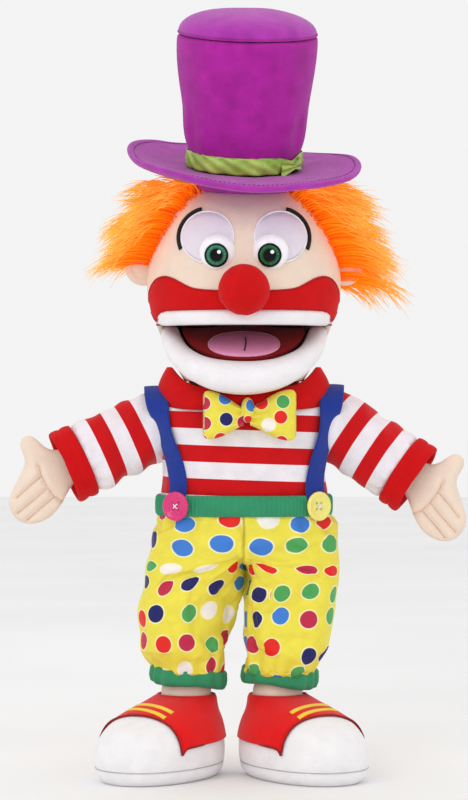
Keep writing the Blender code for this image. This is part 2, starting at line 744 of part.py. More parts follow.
def make_leg(side, sign):
    hip = Vector((sign * HIP_X, HIP_Y, HIP_Z))
    ankle = Vector((sign * HIP_X + LEG_LEAN, HIP_Y, ANKLE_Z))
    leg = pivot(f"{side}_hip", Matrix.Translation(hip) @ frame_along(hip - ankle, (1, 0, 0)))
    wide = Matrix.Diagonal((LEG_WIDENING, 1.0, 1.0, 1.0))
    root = [(x, z) for x, z in arc((0, 0), 0.0305, 0.0305, 90, 0, 7)]
    outside = [
        (0.0320, -0.030),
        (0.0330, -0.055),
        (0.0310, -0.070),
        (0.0262, -0.0790),
        (0.0, -0.0790),
    ]
    place(turned(f"{side}_trouser_leg", root + outside, 24), YELLOW, leg, wide)
    cuff_top, cuff_bottom = -0.0790 - GAP, -0.0925
    cuff = [
        (0.0268, cuff_top),
        (0.0278, cuff_bottom + 0.003),
        (0.0268, cuff_bottom),
        (0.0232, cuff_bottom),
        (0.0232, cuff_top),
    ]
    place(turned(f"{side}_trouser_cuff", cuff, 24), GREEN, leg, wide)

    foot = foot_frame(side, sign)
    dome = arc((0.0, 0.0), 0.0210, 0.0210, 90, 4, 7)
    seat = dome[-1][1]
    place(turned(f"{side}_ankle", [*dome, (0.0, seat)], 24), SKIN, foot)
    place(shoe_form(f"{side}_shoe", 0.0), WHITE, foot)

    layer = place(shoe_form(f"{side}_shoe_layer", GAP, bottom=False, top=False), parent=foot)
    solidify(layer, 0.0016, 1.0)
    outline = [(-0.065, -0.040), (0.040, -0.032), (0.040, 0.010), (-0.065, 0.010)]
    upper = place(prism(f"{side}_shoe_upper", outline, "X", -0.060, 0.060), RED, foot)
    combine(upper, layer, "INTERSECT")


# ---- the puppet ------------------------------------------------------------------------------
make_head()
make_hair(make_face())
make_hat()
make_jaw()
make_neck()
make_shirt()
make_suspenders()
make_trousers_top()
for side_name, side_sign in SIDES.items():
    make_arm(side_name, side_sign)
    make_leg(side_name, side_sign)
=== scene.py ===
import math
import random

import bmesh
import bpy
import numpy as np
from mathutils import Matrix, Vector, noise
from mathutils.bvhtree import BVHTree


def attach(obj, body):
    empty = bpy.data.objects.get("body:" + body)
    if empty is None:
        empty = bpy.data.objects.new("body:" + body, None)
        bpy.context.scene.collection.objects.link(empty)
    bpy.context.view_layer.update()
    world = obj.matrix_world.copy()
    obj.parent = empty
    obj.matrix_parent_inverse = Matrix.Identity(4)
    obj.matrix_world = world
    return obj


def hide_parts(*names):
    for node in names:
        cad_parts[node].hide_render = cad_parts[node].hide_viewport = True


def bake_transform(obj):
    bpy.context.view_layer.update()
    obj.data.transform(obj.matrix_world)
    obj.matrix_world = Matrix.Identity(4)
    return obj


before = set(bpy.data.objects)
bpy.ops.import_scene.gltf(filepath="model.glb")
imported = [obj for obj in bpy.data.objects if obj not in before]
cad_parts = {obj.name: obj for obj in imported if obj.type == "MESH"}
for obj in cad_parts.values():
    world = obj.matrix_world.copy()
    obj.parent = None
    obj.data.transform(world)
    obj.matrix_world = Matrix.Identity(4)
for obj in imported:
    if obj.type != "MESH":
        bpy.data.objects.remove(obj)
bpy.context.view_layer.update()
SIDES = {"left": 1, "right": -1}  # the puppet's own left is at +X


# ---- Head ------------------------------------------------------------------------------------
# A hollow foam ball cut open for the mouth and covered in short peach fleece, which is pulled
# tight and closed with a seam down the back.
HEAD_RINGS = (  # height, half width, depth in front, depth behind, forward tilt
    (-0.046, 0.050, 0.040, 0.052, 0),
    (-0.034, 0.057, 0.054, 0.062, 0),
    (-0.017, 0.066, 0.065, 0.071, 0),
    (0.003, 0.075, 0.0715, 0.075, 0),
    (0.026, 0.082, 0.073, 0.078, 0),
    (0.046, 0.082, 0.0715, 0.078, 0),
    (0.072, 0.0755, 0.066, 0.074, 2),
    (0.090, 0.0695, 0.060, 0.0695, 6),
    (0.105, 0.063, 0.054, 0.063, 10),
    (0.1155, 0.055, 0.047, 0.055, 14),
    (0.1210, 0.044, 0.040, 0.046, 15),
)
MOUTH_ROOF = 0.0017
MOUTH_BACK = math.radians(120)


def dye(code):
    """A dyed colour, from its six-figure code to the light that it gives back."""
    shares = [int(code[i : i + 2], 16) / 255 for i in (0, 2, 4)]
    light = [s / 12.92 if s <= 0.04045 else ((s + 0.055) / 1.055) ** 2.4 for s in shares]
    return (*light, 1.0)


def add(tree, kind, options=None, **sockets):
    """Adds a shader node. Sockets go by name, with _ for a space, or by number as i0, i1."""
    made = tree.nodes.new("ShaderNode" + kind)
    for option, value in (options or {}).items():
        setattr(made, option, value)
    for socket, value in sockets.items():
        numbered = socket[0] == "i" and socket[1:].isdigit()
        entry = made.inputs[int(socket[1:]) if numbered else socket.replace("_", " ")]
        if isinstance(value, bpy.types.NodeSocket):
            tree.links.new(value, entry)
        else:
            entry.default_value = value
    return made


def work(tree, operation, *numbers):
    """One step of arithmetic on numbers or sockets."""
    sockets = {f"i{i}": number for i, number in enumerate(numbers)}
    return add(tree, "Math", {"operation": operation}, **sockets).outputs[0]


def between(tree, value, low, high, start, end):
    """Value from low to high, turned into start to end."""
    sockets = {"From_Min": low, "From_Max": high, "To_Min": start, "To_Max": end}
    return add(tree, "MapRange", Value=value, **sockets).outputs[0]


def cloth(name, dyed, fibre=0.0016, nap=0.5, mottle=0.06, sheen=0.2, rough=0.9, print_on=None,
          laid_flat=False, weave=0.0):
    """A brushed cloth: matted fibres, soft mottling and a pale sheen on its edges.

    Laid flat, it is measured on the piece's own flat layout, so that it bends with the piece.
    A weave shows crossed threads that far apart.
    """
    material = bpy.data.materials.new(name)
    material.use_nodes = True
    tree = material.node_tree
    shader = tree.nodes["Principled BSDF"]
    where = add(tree, "TexCoord").outputs["Object"]
    if laid_flat or weave:
        where = add(tree, "UVMap", {"uv_map": "cloth"}).outputs[0]
    fibres = add(tree, "TexNoise", Vector=where, Scale=1 / fibre, Detail=3.0, Roughness=0.7)
    clumps = add(tree, "TexNoise", Vector=where, Scale=0.1 / fibre, Detail=2.0)
    tone = work(
        tree,
        "MULTIPLY",
        between(tree, clumps.outputs["Fac"], 0.3, 0.7, 1 - mottle, 1 + mottle),
        between(tree, fibres.outputs["Fac"], 0.3, 0.7, 1 - mottle, 1 + mottle),
    )
    base = print_on(tree) if print_on else dyed
    toned = add(tree, "HueSaturation", Value=tone, Color=base)
    tree.links.new(toned.outputs["Color"], shader.inputs["Base Color"])
    matt = between(tree, fibres.outputs["Fac"], 0.3, 0.7, rough - 0.06, rough + 0.04)
    tree.links.new(matt, shader.inputs["Roughness"])
    height = fibres.outputs["Fac"]
    if weave:
        split = add(tree, "SeparateXYZ", Vector=where)
        turns = [work(tree, "MULTIPLY", split.outputs[i], math.tau / weave) for i in (0, 1)]
        crossed = work(tree, "MULTIPLY", *(work(tree, "SINE", turn) for turn in turns))
        height = work(tree, "ADD", height, crossed)
    bump = add(tree, "Bump", Strength=nap, Distance=fibre * 0.6, Height=height)
    tree.links.new(bump.outputs["Normal"], shader.inputs["Normal"])
    shader.inputs["Sheen Weight"].default_value = sheen
    shader.inputs["Sheen Roughness"].default_value = 0.45
    shader.inputs["Specular IOR Level"].default_value = 0.25
    return material


def sew(name, points, faces, material, layout=None):
    """A smooth piece from its points and faces. Layout gives each face corner's place."""
    mesh = bpy.data.meshes.new(name)
    mesh.from_pydata([tuple(p) for p in points], [], faces)
    if layout:
        flat = mesh.uv_layers.new(name="cloth")
        flat.data.foreach_set("uv", [value for corner in layout for value in corner])
    mesh.shade_smooth()
    mesh.materials.append(material)
    piece = bpy.data.objects.new(f"{name}_visual", mesh)
    bpy.context.scene.collection.objects.link(piece)
    return piece


def wrap(name, rows, material, closed=True, ends=(False, False), along=None):
    """Cloth laid over rows of points. Its flat layout is in metres: round, then along."""
    count = len(rows[0])
    points = [Vector(p) for row in rows for p in row]
    span = count if closed else count - 1
    middle = rows[len(rows) // 2]
    around = [0.0]
    for i in range(span):
        around.append(around[-1] + (Vector(middle[(i + 1) % count]) - Vector(middle[i])).length)
    if along is None:
        along = [0.0]
        for a, b in zip(rows, rows[1:]):
            along.append(along[-1] + (Vector(b[0]) - Vector(a[0])).length)
    faces, layout = [], []
    for r in range(len(rows) - 1):
        for i in range(span):
            j = (i + 1) % count
            faces.append((r * count + i, r * count + j, (r + 1) * count + j, (r + 1) * count + i))
            corners = ((i, r), (i + 1, r), (i + 1, r + 1), (i, r + 1))
            layout += [(around[c], along[v]) for c, v in corners]
    for end, row in zip(ends, (0, len(rows) - 1)):
        if end:
            ring = [row * count + i for i in range(count)]
            faces.append(ring if row else ring[::-1])
            layout += [(0.0, along[row])] * count
    return sew(name, points, faces, material, layout)


def settle(piece):
    """Makes the result of a piece's modifiers its own mesh."""
    bpy.context.view_layer.update()
    graph = bpy.context.evaluated_depsgraph_get()
    mesh = bpy.data.meshes.new_from_object(piece.evaluated_get(graph))
    piece.modifiers.clear()
    piece.data = mesh
    mesh.shade_smooth()
    return piece


def smooth(piece, levels=2):
    modifier = piece.modifiers.new("smooth", "SUBSURF")
    modifier.levels = modifier.render_levels = levels
    return settle(piece)


def thicken(piece, thickness, offset=-1.0, even=True):
    modifier = piece.modifiers.new("thickness", "SOLIDIFY")
    modifier.thickness = thickness
    modifier.offset = offset
    modifier.use_even_offset = even
    return settle(piece)


def oval(half_x, half_y, count, power=2.0):
    """Points round a rounded oval. A higher power is squarer."""
    points = []
    for step in range(count):
        c, s = math.cos(math.tau * step / count), math.sin(math.tau * step / count)
        x = math.copysign(abs(c) ** (2 / power), c) * half_x
        points.append((x, math.copysign(abs(s) ** (2 / power), s) * half_y))
    return points


def head_rows(grow=0.0):
    rows = []
    for height, half_width, front, back, tilt in HEAD_RINGS:
        turn = Matrix.Rotation(math.radians(tilt), 3, "X")
        row = []
        for x, y in oval(1.0, 1.0, 32):
            depth = (front if y < 0 else back) + grow
            level = turn @ Vector((0, y * depth, 0))
            row.append(Vector((x * (half_width + grow), level.y, height + level.z)))
        rows.append(row)
    return rows


peach_fleece = cloth("peach_fleece", dye("EFDAC8"), fibre=0.0013, nap=0.35, mottle=0.03, sheen=0.25)

form = smooth(wrap("head_form", head_rows(), peach_fleece, ends=(False, True)), 1)
bpy.context.view_layer.update()
HEAD_SKIN = BVHTree.FromObject(form, bpy.context.evaluated_depsgraph_get())
bpy.data.objects.remove(form)

head = smooth(wrap("head_skin", head_rows(), peach_fleece, ends=(False, True)))
bm = bmesh.new()
bm.from_mesh(head.data)
wall = Vector((0, -math.cos(MOUTH_BACK), -math.sin(MOUTH_BACK)))
corner = Vector((0, 0.003, MOUTH_ROOF))
across = Vector((0, wall.z, -wall.y))
for point, normal in ((corner, Vector((0, 0, 1))), (corner, across)):
    geometry = [*bm.verts, *bm.edges, *bm.faces]
    bmesh.ops.bisect_plane(bm, geom=geometry, plane_co=point, plane_no=normal)
gape = []
for face in bm.faces:
    middle = face.calc_center_median() - corner
    if middle.z < 0 and middle.y < -math.tan(math.pi / 2 - MOUTH_BACK) * middle.z - 1e-6:
        gape.append(face)
bmesh.ops.delete(bm, geom=gape, context="FACES")
for vertex in bm.verts:
    # The closing seam pulls a shallow groove down the back.
    if vertex.co.y > 0.02 and abs(vertex.co.x) < 0.006:
        vertex.co.y -= 0.0016 * math.exp(-((vertex.co.x / 0.002) ** 2))
    lump = noise.noise(vertex.co * 34) * 0.0006
    vertex.co += Vector((vertex.co.x, vertex.co.y, 0)).normalized() * lump
bm.to_mesh(head.data)
bm.free()
thicken(head, 0.006)
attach(head, "head")
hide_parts("head_shell")


# ---- Face felt -------------------------------------------------------------------------------
# The lip, the red mouth band and the eye patches are cut from flat felt, laid on the face and
# edged with a close satin stitch. The brows are solid satin stitch.
def on_face(x, z, lift=0.0):
    """The place on the head's skin seen from the front at x and z, raised off it by lift."""
    hit, normal, _, _ = HEAD_SKIN.ray_cast(Vector((x, -0.3, z)), Vector((0, 1, 0)))
    return hit + normal * lift


def felt_patch(name, edges, material, lift=0.0016, rows=8, edge_lift=0.0006):
    """Felt laid on the face between pairs of edge points, thinner where it is sewn down."""
    grid = []
    last = len(edges) - 1
    for r in range(rows + 1):
        share = r / rows
        row = []
        for c, (low, high) in enumerate(edges):
            x = low[0] + (high[0] - low[0]) * share
            z = low[1] + (high[1] - low[1]) * share
            inset = min(share, 1 - share) * 4
            inset = min(1.0, inset, min(c, last - c) / 2)
            row.append(on_face(x, z, edge_lift + (lift - edge_lift) * math.sqrt(max(inset, 0))))
        grid.append(row)
    return thicken(wrap(name, grid, material, closed=False), 0.0008, even=False)


def weld(piece, gap=1e-6):
    """Joins the two edges of a closed form where its last row meets its first."""
    bm = bmesh.new()
    bm.from_mesh(piece.data)
    bmesh.ops.remove_doubles(bm, verts=bm.verts, dist=gap)
    bm.to_mesh(piece.data)
    bm.free()


def rope(name, path, radius, material, closed=False, sides=8):
    """A round thread or roll along a path. The radius may change along it."""
    points = [Vector(p) for p in path]
    count = len(points)
    radii = radius if hasattr(radius, "__len__") else [radius] * count
    rows = []
    side = None
    for i, point in enumerate(points):
        after = points[(i + 1) % count] if closed or i < count - 1 else point
        before = points[i - 1] if closed or i > 0 else point
        forward = (after - before).normalized()
        if side is None:
            side = forward.orthogonal().normalized()
        side = (side - forward * side.dot(forward)).normalized()
        up = forward.cross(side)
        row = []
        for k in range(sides):
            turn = math.tau * k / sides
            row.append(point + (side * math.cos(turn) + up * math.sin(turn)) * radii[i])
        rows.append(row)
    if closed:
        rows.append(rows[0])
        made = wrap(name, rows, material)
        weld(made)
        return made
    return wrap(name, rows, material, ends=(True, True))


def arc(centre, radius_x, radius_z, start, end, steps):
    """Points along part of an oval, from one angle in degrees to another."""
    angles = [math.radians(start + (end - start) * i / steps) for i in range(steps + 1)]
    return [
        (centre[0] + radius_x * math.cos(a), centre[1] + radius_z * math.sin(a)) for a in angles
    ]


def satin_thread(name, code):
    """Close satin stitch: short glossy threads side by side."""
    return cloth(name, dye(code), fibre=0.0008, nap=0.8, mottle=0.1, sheen=0.15, rough=0.55)


white_fleece = cloth("white_fleece", dye("F4F1F4"), fibre=0.0015, nap=0.5, mottle=0.03)
red_felt = cloth("red_felt", dye("CC0208"), fibre=0.0012, nap=0.4, mottle=0.06, sheen=0.04)
lilac_felt = cloth("lilac_felt", dye("E6DFEA"), fibre=0.0012, nap=0.3, mottle=0.03)
red_thread = satin_thread("red_thread", "B50D14")
white_thread = satin_thread("white_thread", "F6F4F8")
black_thread = satin_thread("black_thread", "141214")

LIP_HALF, LIP_TOP = 0.0712, 0.0113
lip_edges = []
for step in range(37):
    share = step / 18 - 1
    x = LIP_HALF * share
    rounding = 0.0028 * max(0.0, (abs(share) - 0.9) / 0.1) ** 2
    lip_edges.append(((x, MOUTH_ROOF - 0.0022 + rounding), (x, LIP_TOP - rounding)))
upper_lip = felt_patch("upper_lip", lip_edges, white_fleece, lift=0.0034, rows=6)
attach(upper_lip, "head")
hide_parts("upper_lip")

half_top = [(0.0, 0.027), (0.012, 0.0268), (0.024, 0.027), (0.036, 0.028), (0.044, 0.030)]
half_top += [(0.052, 0.0345), (0.060, 0.0385), (0.0665, 0.0395), (0.0720, 0.0375)]
half_top += [(0.0760, 0.0330), (0.0782, 0.0270), (0.0785, 0.0200)]
half_low = [(0.0, 0.0115), (0.012, 0.0115), (0.024, 0.0115), (0.036, 0.0115), (0.045, 0.0115)]
half_low += [(0.053, 0.0115), (0.060, 0.0113), (0.0655, 0.0105), (0.0690, 0.0070)]
half_low += [(0.0712, 0.0035), (0.0740, 0.0060), (0.0768, 0.0120)]


def finer(path, times):
    """The same path with points added between its own, rounded through them."""
    made = []
    for i in range(len(path) - 1):
        a, b = path[max(i - 1, 0)], path[i]
        c, d = path[i + 1], path[min(i + 2, len(path) - 1)]
        for k in range(times):
            t = k / times
            made.append(tuple(
                0.5 * (2 * q + (r - p) * t + (2 * p - 5 * q + 4 * r - s) * t * t
                       + (3 * q - p - 3 * r + s) * t**3)
                for p, q, r, s in zip(a, b, c, d)
            ))
    return [*made, tuple(path[-1])]


top_line = finer([(-x, z) for x, z in reversed(half_top)] + half_top[1:], 2)
low_line = finer([(-x, z) for x, z in reversed(half_low)] + half_low[1:], 2)
mouth_band = felt_patch("mouth_band", list(zip(low_line, top_line)), red_felt, rows=8)
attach(mouth_band, "head")
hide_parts("moustache")
for label, line in (("top", top_line), ("left_end", low_line[-9:]), ("right_end", low_line[:9])):
    stitch = rope(
        f"mouth_band_stitch_{label}", [on_face(x, z, 0.0008) for x, z in line], 0.0006, red_thread
    )
    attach(stitch, "head")

PATCH_X, PATCH_Z, PATCH_RADIUS = 0.0295, 0.071, 0.0212
for side, sign in SIDES.items():
    centre = (sign * PATCH_X, PATCH_Z)
    low = arc(centre, PATCH_RADIUS, PATCH_RADIUS, 180, 360, 24)
    high = arc(centre, PATCH_RADIUS, PATCH_RADIUS, 180, 0, 24)
    patch = felt_patch(f"{side}_eye_patch", list(zip(low, high)), lilac_felt, lift=0.0012)
    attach(patch, "head")
    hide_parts(f"{side}_eye_patch")
    round_path = [
        on_face(x, z, 0.0009) for x, z in arc(centre, PATCH_RADIUS, PATCH_RADIUS, 0, 352, 44)
    ]
    ring = rope(f"{side}_patch_stitch", round_path, 0.00075, white_thread, closed=True)
    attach(ring, "head")
    ends = (-24, 78) if sign > 0 else (204, 102)
    reach = PATCH_RADIUS + 0.0024
    brow_path = [on_face(x, z, 0.0006) for x, z in arc(centre, reach, reach, *ends, 30)]
    brow = rope(f"{side}_eyebrow", brow_path, 0.0019, black_thread, sides=10)
    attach(brow, "head")
    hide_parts(f"{side}_eyebrow")


# ---- Eyes ------------------------------------------------------------------------------------
# Each eye is a flattened ball of white gloss plastic with a moulded iris disc let into it: green
# rays round a dark pupil and a dark rim, with a painted white highlight on the pupil.
def ball(name, centre, radii, material, segments=48, rings=32):
    rows = []
    for r in range(rings + 1):
        turn = math.pi * r / rings - math.pi / 2
        level, width = math.sin(turn), max(math.cos(turn), 1e-4)
        rows.append([
            (centre[0] + radii[0] * width * x, centre[1] + radii[1] * width * y,
             centre[2] + radii[2] * level)
            for x, y in oval(1.0, 1.0, segments)
        ])
    return wrap(name, rows, material, ends=(True, True))


def gloss(name, dyed, rough=0.12, coat=0.6, paint=None):
    """Moulded plastic: a clear shine over a colour that varies very little."""
    material = bpy.data.materials.new(name)
    material.use_nodes = True
    tree = material.node_tree
    shader = tree.nodes["Principled BSDF"]
    where = add(tree, "TexCoord").outputs["Object"]
    ripple = add(tree, "TexNoise", Vector=where, Scale=220.0, Detail=2.0)
    tone = between(tree, ripple.outputs["Fac"], 0.3, 0.7, 0.97, 1.03)
    base = add(tree, "HueSaturation", Value=tone, Color=paint(tree) if paint else dyed)
    tree.links.new(base.outputs["Color"], shader.inputs["Base Color"])
    worn = between(tree, ripple.outputs["Fac"], 0.3, 0.7, rough, rough + 0.06)
    tree.links.new(worn, shader.inputs["Roughness"])
    shader.inputs["Coat Weight"].default_value = coat
    shader.inputs["Coat Roughness"].default_value = 0.05
    return material


EYE_X, EYE_Z, EYE_RADIUS, IRIS_RADIUS = 0.0215, 0.056, 0.0148, 0.0095
white_gloss = gloss("eye_white", dye("F7F6FA"), rough=0.2, coat=0.3)


def iris_paint(rays, deep):
    """The iris print and a painted highlight, laid out flat round its middle: the layout runs from
    -1 to 1.
    """

    def paint(tree):
        flat = add(tree, "UVMap", {"uv_map": "cloth"}).outputs[0]
        split = add(tree, "SeparateXYZ", Vector=flat)
        x, y = split.outputs[0], split.outputs[1]
        reach = add(tree, "VectorMath", {"operation": "LENGTH"}, i0=flat).outputs["Value"]
        turn = work(tree, "ARCTAN2", y, x)
        ray = add(tree, "TexNoise", {"noise_dimensions": "1D"}, W=turn, Scale=9.0, Detail=2.0)
        mixed = add(tree, "Mix", {"data_type": "RGBA"})
        tree.links.new(between(tree, ray.outputs["Fac"], 0.4, 0.6, 0.0, 1.0), mixed.inputs[0])
        mixed.inputs[6].default_value = deep
        mixed.inputs[7].default_value = rays
        bands = add(tree, "ValToRGB", Fac=reach)
        ramp = bands.color_ramp
        for place, shade in ((0.50, 0.0), (0.54, 0.30), (0.68, 0.85), (0.78, 0.9), (0.84, 0.04)):
            stop = ramp.elements.new(place)
            stop.color = (shade, shade, shade, 1.0)
        ramp.elements[0].color = (0.0, 0.0, 0.0, 1.0)
        ramp.elements[-1].color = (0.02, 0.02, 0.02, 1.0)
        shaded = add(tree, "Mix", {"data_type": "RGBA", "blend_type": "MULTIPLY"}, i0=1.0)
        tree.links.new(mixed.outputs[2], shaded.inputs[6])
        tree.links.new(bands.outputs[0], shaded.inputs[7])
        # Painted highlight: a white spot on the pupil that stands in for the lamp's reflection.
        off_x, off_y = work(tree, "SUBTRACT", x, 0.22), work(tree, "SUBTRACT", y, 0.26)
        far = work(tree, "SQRT", work(
            tree, "ADD", work(tree, "MULTIPLY", off_x, off_x), work(tree, "MULTIPLY", off_y, off_y)
        ))
        painted_glint = add(tree, "Mix", {"data_type": "RGBA"})
        tree.links.new(between(tree, far, 0.14, 0.17, 1.0, 0.0), painted_glint.inputs[0])
        tree.links.new(shaded.outputs[2], painted_glint.inputs[6])
        painted_glint.inputs[7].default_value = (1.0, 1.0, 1.0, 1.0)
        return painted_glint.outputs[2]

    return paint


for side, sign in SIDES.items():
    centre = Vector((sign * EYE_X, -0.0655, EYE_Z + 0.0028))
    gaze = Vector((-0.0008, 0, -0.0034))
    dome = (EYE_RADIUS, 0.0085, EYE_RADIUS)
    eyeball = ball(f"{side}_eyeball", centre, dome, white_gloss)
    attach(eyeball, "head")
    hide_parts(f"{side}_eyeball")
    rows, layout = [], []
    for r in range(13):
        reach = IRIS_RADIUS * r / 12
        row = []
        for x, z in oval(max(reach, 1e-5), max(reach, 1e-5), 48):
            x, z = x + gaze.x, z + gaze.z
            drop = max(0.02, 1 - (x * x + z * z) / EYE_RADIUS**2)
            row.append(centre + Vector((x, -dome[1] * math.sqrt(drop) - 0.0006, z)))
        rows.append(row)
    greens = (dye("4FA585"), dye("256E4F")) if side == "right" else (dye("348556"), dye("185230"))
    iris_gloss = gloss(f"{side}_iris_print_and_highlight", None, rough=0.15, coat=0.15,
                       paint=iris_paint(*greens))
    iris_gloss.node_tree.nodes["Principled BSDF"].inputs["Specular IOR Level"].default_value = 0.1
    iris = wrap(f"{side}_iris", rows, iris_gloss)
    flat = iris.data.uv_layers["cloth"]
    for loop in iris.data.loops:
        place = iris.data.vertices[loop.vertex_index].co - centre - gaze
        flat.data[loop.index].uv = (place.x / IRIS_RADIUS, place.z / IRIS_RADIUS)
    thicken(iris, 0.0005)
    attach(iris, "head")
    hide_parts(f"{side}_iris")


# ---- Nose ------------------------------------------------------------------------------------
# A ball of red fleece gathered round its filling. Small puckers run from the edge that is sewn
# to the face.
NOSE, NOSE_RADIUS = Vector((0.0, -0.084, 0.027)), 0.0207
nose = ball("nose", NOSE, (NOSE_RADIUS, 0.0185, NOSE_RADIUS), red_felt, 64, 40)
for vertex in nose.data.vertices:
    offset = vertex.co - NOSE
    turn = math.atan2(offset.z, offset.x)
    sewn = max(0.0, min(1.0, (offset.y + 0.002) / 0.012))
    vertex.co += offset.normalized() * 0.0007 * sewn * math.sin(turn * 13 + math.sin(turn * 3))
    vertex.co += offset.normalized() * noise.noise(vertex.co * 60) * 0.0005
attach(nose, "head")
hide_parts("nose")


# ---- Ears ------------------------------------------------------------------------------------
# Two flat peach pads, each turned from two layers and quilted with one curved line of stitches.
for side, sign in SIDES.items():
    centre = Vector((sign * 0.084, 0.002, 0.049))
    ear = ball(f"{side}_ear", centre, (0.0155, 0.0062, 0.0150), peach_fleece)
    for vertex in ear.data.vertices:
        offset = vertex.co - centre
        reach = math.hypot(offset.x, offset.z)
        quilt = math.exp(-(((reach - 0.009) / 0.0016) ** 2))
        vertex.co.y -= math.copysign(0.0014, offset.y) * quilt
    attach(ear, "head")
    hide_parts(f"{side}_ear")


# ---- Hat -------------------------------------------------------------------------------------
# Purple fleece over stiff foam: a floppy brim with a line of stitches inside its edge, a tall
# crown that widens upwards, and a domed top set in with a seam.
def clouded(light, deep):
    def paint(tree):
        where = add(tree, "TexCoord").outputs["Object"]
        cloud = add(tree, "TexNoise", Vector=where, Scale=55.0, Detail=3.0)
        mixed = add(tree, "Mix", {"data_type": "RGBA"})
        tree.links.new(between(tree, cloud.outputs["Fac"], 0.35, 0.65, 0.0, 1.0), mixed.inputs[0])
        mixed.inputs[6].default_value = deep
        mixed.inputs[7].default_value = light
        return mixed.outputs[2]

    return paint


crown_fleece = cloth("crown_fleece", None, fibre=0.0014, nap=0.7, mottle=0.10, sheen=0.12,
                     print_on=clouded(dye("B0209E"), dye("A51A94")))
brim_fleece = cloth("brim_fleece", None, fibre=0.0014, nap=0.7, mottle=0.08, sheen=0.25,
                    print_on=clouded(dye("B238AE"), dye("A62FA2")))
purple_thread = satin_thread("purple_thread", "8A1A8C")

HAT_FRAME = (
    Matrix.Translation((0.0, 0.002, 0.1305))
    @ Matrix.Rotation(math.radians(15), 4, "X")
    @ Matrix.Rotation(math.radians(1.5), 4, "Y")
)
BRIM_RADIUS, BRIM_HOLE, BRIM_HALF = 0.098, 0.040, 0.0032


def brim_height(turn, radius):
    """The brim's floppy shape: its right end curls up and its left end dips."""
    reach = max(0.0, (radius - 0.052) / 0.046) ** 2
    right = ((1 - math.cos(turn)) / 2) ** 3
    left = ((1 + math.cos(turn)) / 2) ** 2
    wave = 0.0014 * math.sin(3 * turn + 0.8) + 0.0012 * math.sin(5 * turn)
    return (0.019 * right + 0.008 * left - 0.002 + wave) * reach


rows = []
section = [(BRIM_HOLE, -1), (0.060, -1), (0.075, -1), (0.088, -1), (0.0945, -1), (0.0975, -0.6)]
section += [(0.0985, 0.0), (0.0975, 0.6), (0.0945, 1), (0.0925, 0.78), (0.0905, 1), (0.075, 1)]
section += [(0.060, 1), (BRIM_HOLE, 1)]
for radius, level in section:
    row = []
    for i in range(96):
        turn = math.tau * i / 96
        place = Vector((radius * math.cos(turn), radius * math.sin(turn), 0))
        place.z = brim_height(turn, radius) + level * BRIM_HALF
        place.z += 0.0007 * noise.noise(place * 40)
        row.append(HAT_FRAME @ place)
    rows.append(row)
rows.append(rows[0])
brim = smooth(wrap("hat_brim", rows, brim_fleece), 1)
weld(brim)
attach(brim, "head")
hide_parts("hat_brim")

points, faces = [], []
stitch_count = 150
for i in range(stitch_count):
    ends = []
    for share in (0.18, 0.82):
        turn = math.tau * (i + share) / stitch_count
        place = Vector((0.0925 * math.cos(turn), 0.0925 * math.sin(turn), 0))
        place.z = brim_height(turn, 0.0925) + BRIM_HALF * 0.86
        ends.append(HAT_FRAME @ place)
    forward = (ends[1] - ends[0]).normalized()
    up = (HAT_FRAME.to_3x3() @ Vector((0, 0, 1))).normalized()
    across = forward.cross(up)
    first = len(points)
    for place, size in ((ends[0], 0.6), (ends[0].lerp(ends[1], 0.5), 1.0), (ends[1], 0.6)):
        for k in range(6):
            turn = math.tau * k / 6
            points.append(place + (across * math.cos(turn) + up * math.sin(turn)) * 0.0006 * size)
    for row in range(2):
        for k in range(6):
            a, b = first + row * 6 + k, first + row * 6 + (k + 1) % 6
            faces.append((a, b, b + 6, a + 6))
    faces.append([first + k for k in range(6)][::-1])
    faces.append([first + 12 + k for k in range(6)])
brim_stitches = sew("brim_stitches", points, faces, purple_thread)
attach(brim_stitches, "head")

FLOOR, BAND_HEIGHT, CROWN_HEIGHT = 0.0029, 0.0145, 0.112
crown_profile = (
    (0.0445, FLOOR),
    (0.0460, FLOOR + 0.004),
    (0.0462, FLOOR + BAND_HEIGHT),
    (0.0490, FLOOR + BAND_HEIGHT + 0.004),
    (0.0505, FLOOR + 0.032),
    (0.0525, FLOOR + 0.050),
    (0.0550, FLOOR + 0.070),
    (0.0572, FLOOR + 0.090),
    (0.0590, FLOOR + 0.104),
    (0.0590, FLOOR + 0.1090),
    (0.0572, FLOOR + 0.1120),
)
rows = []
for radius, height in crown_profile:
    row = []
    for i in range(96):
        turn = math.tau * i / 96
        fold = max(0.0, 1 - abs(height - 0.036) / 0.018)
        out = radius + 0.0020 * fold * math.sin(11 * turn + 2 * math.sin(2 * turn))
        free = min(1.0, max(0.0, (height - 0.016) / 0.03))
        place = Vector((math.cos(turn), math.sin(turn), height * 18))
        out += 0.0030 * free * noise.noise(place * 1.6)
        row.append(HAT_FRAME @ Vector((out * math.cos(turn), out * math.sin(turn), height)))
    rows.append(row)
crown = smooth(wrap("hat_crown", rows, crown_fleece, ends=(True, True)), 1)
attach(crown, "head")
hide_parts("hat_crown")

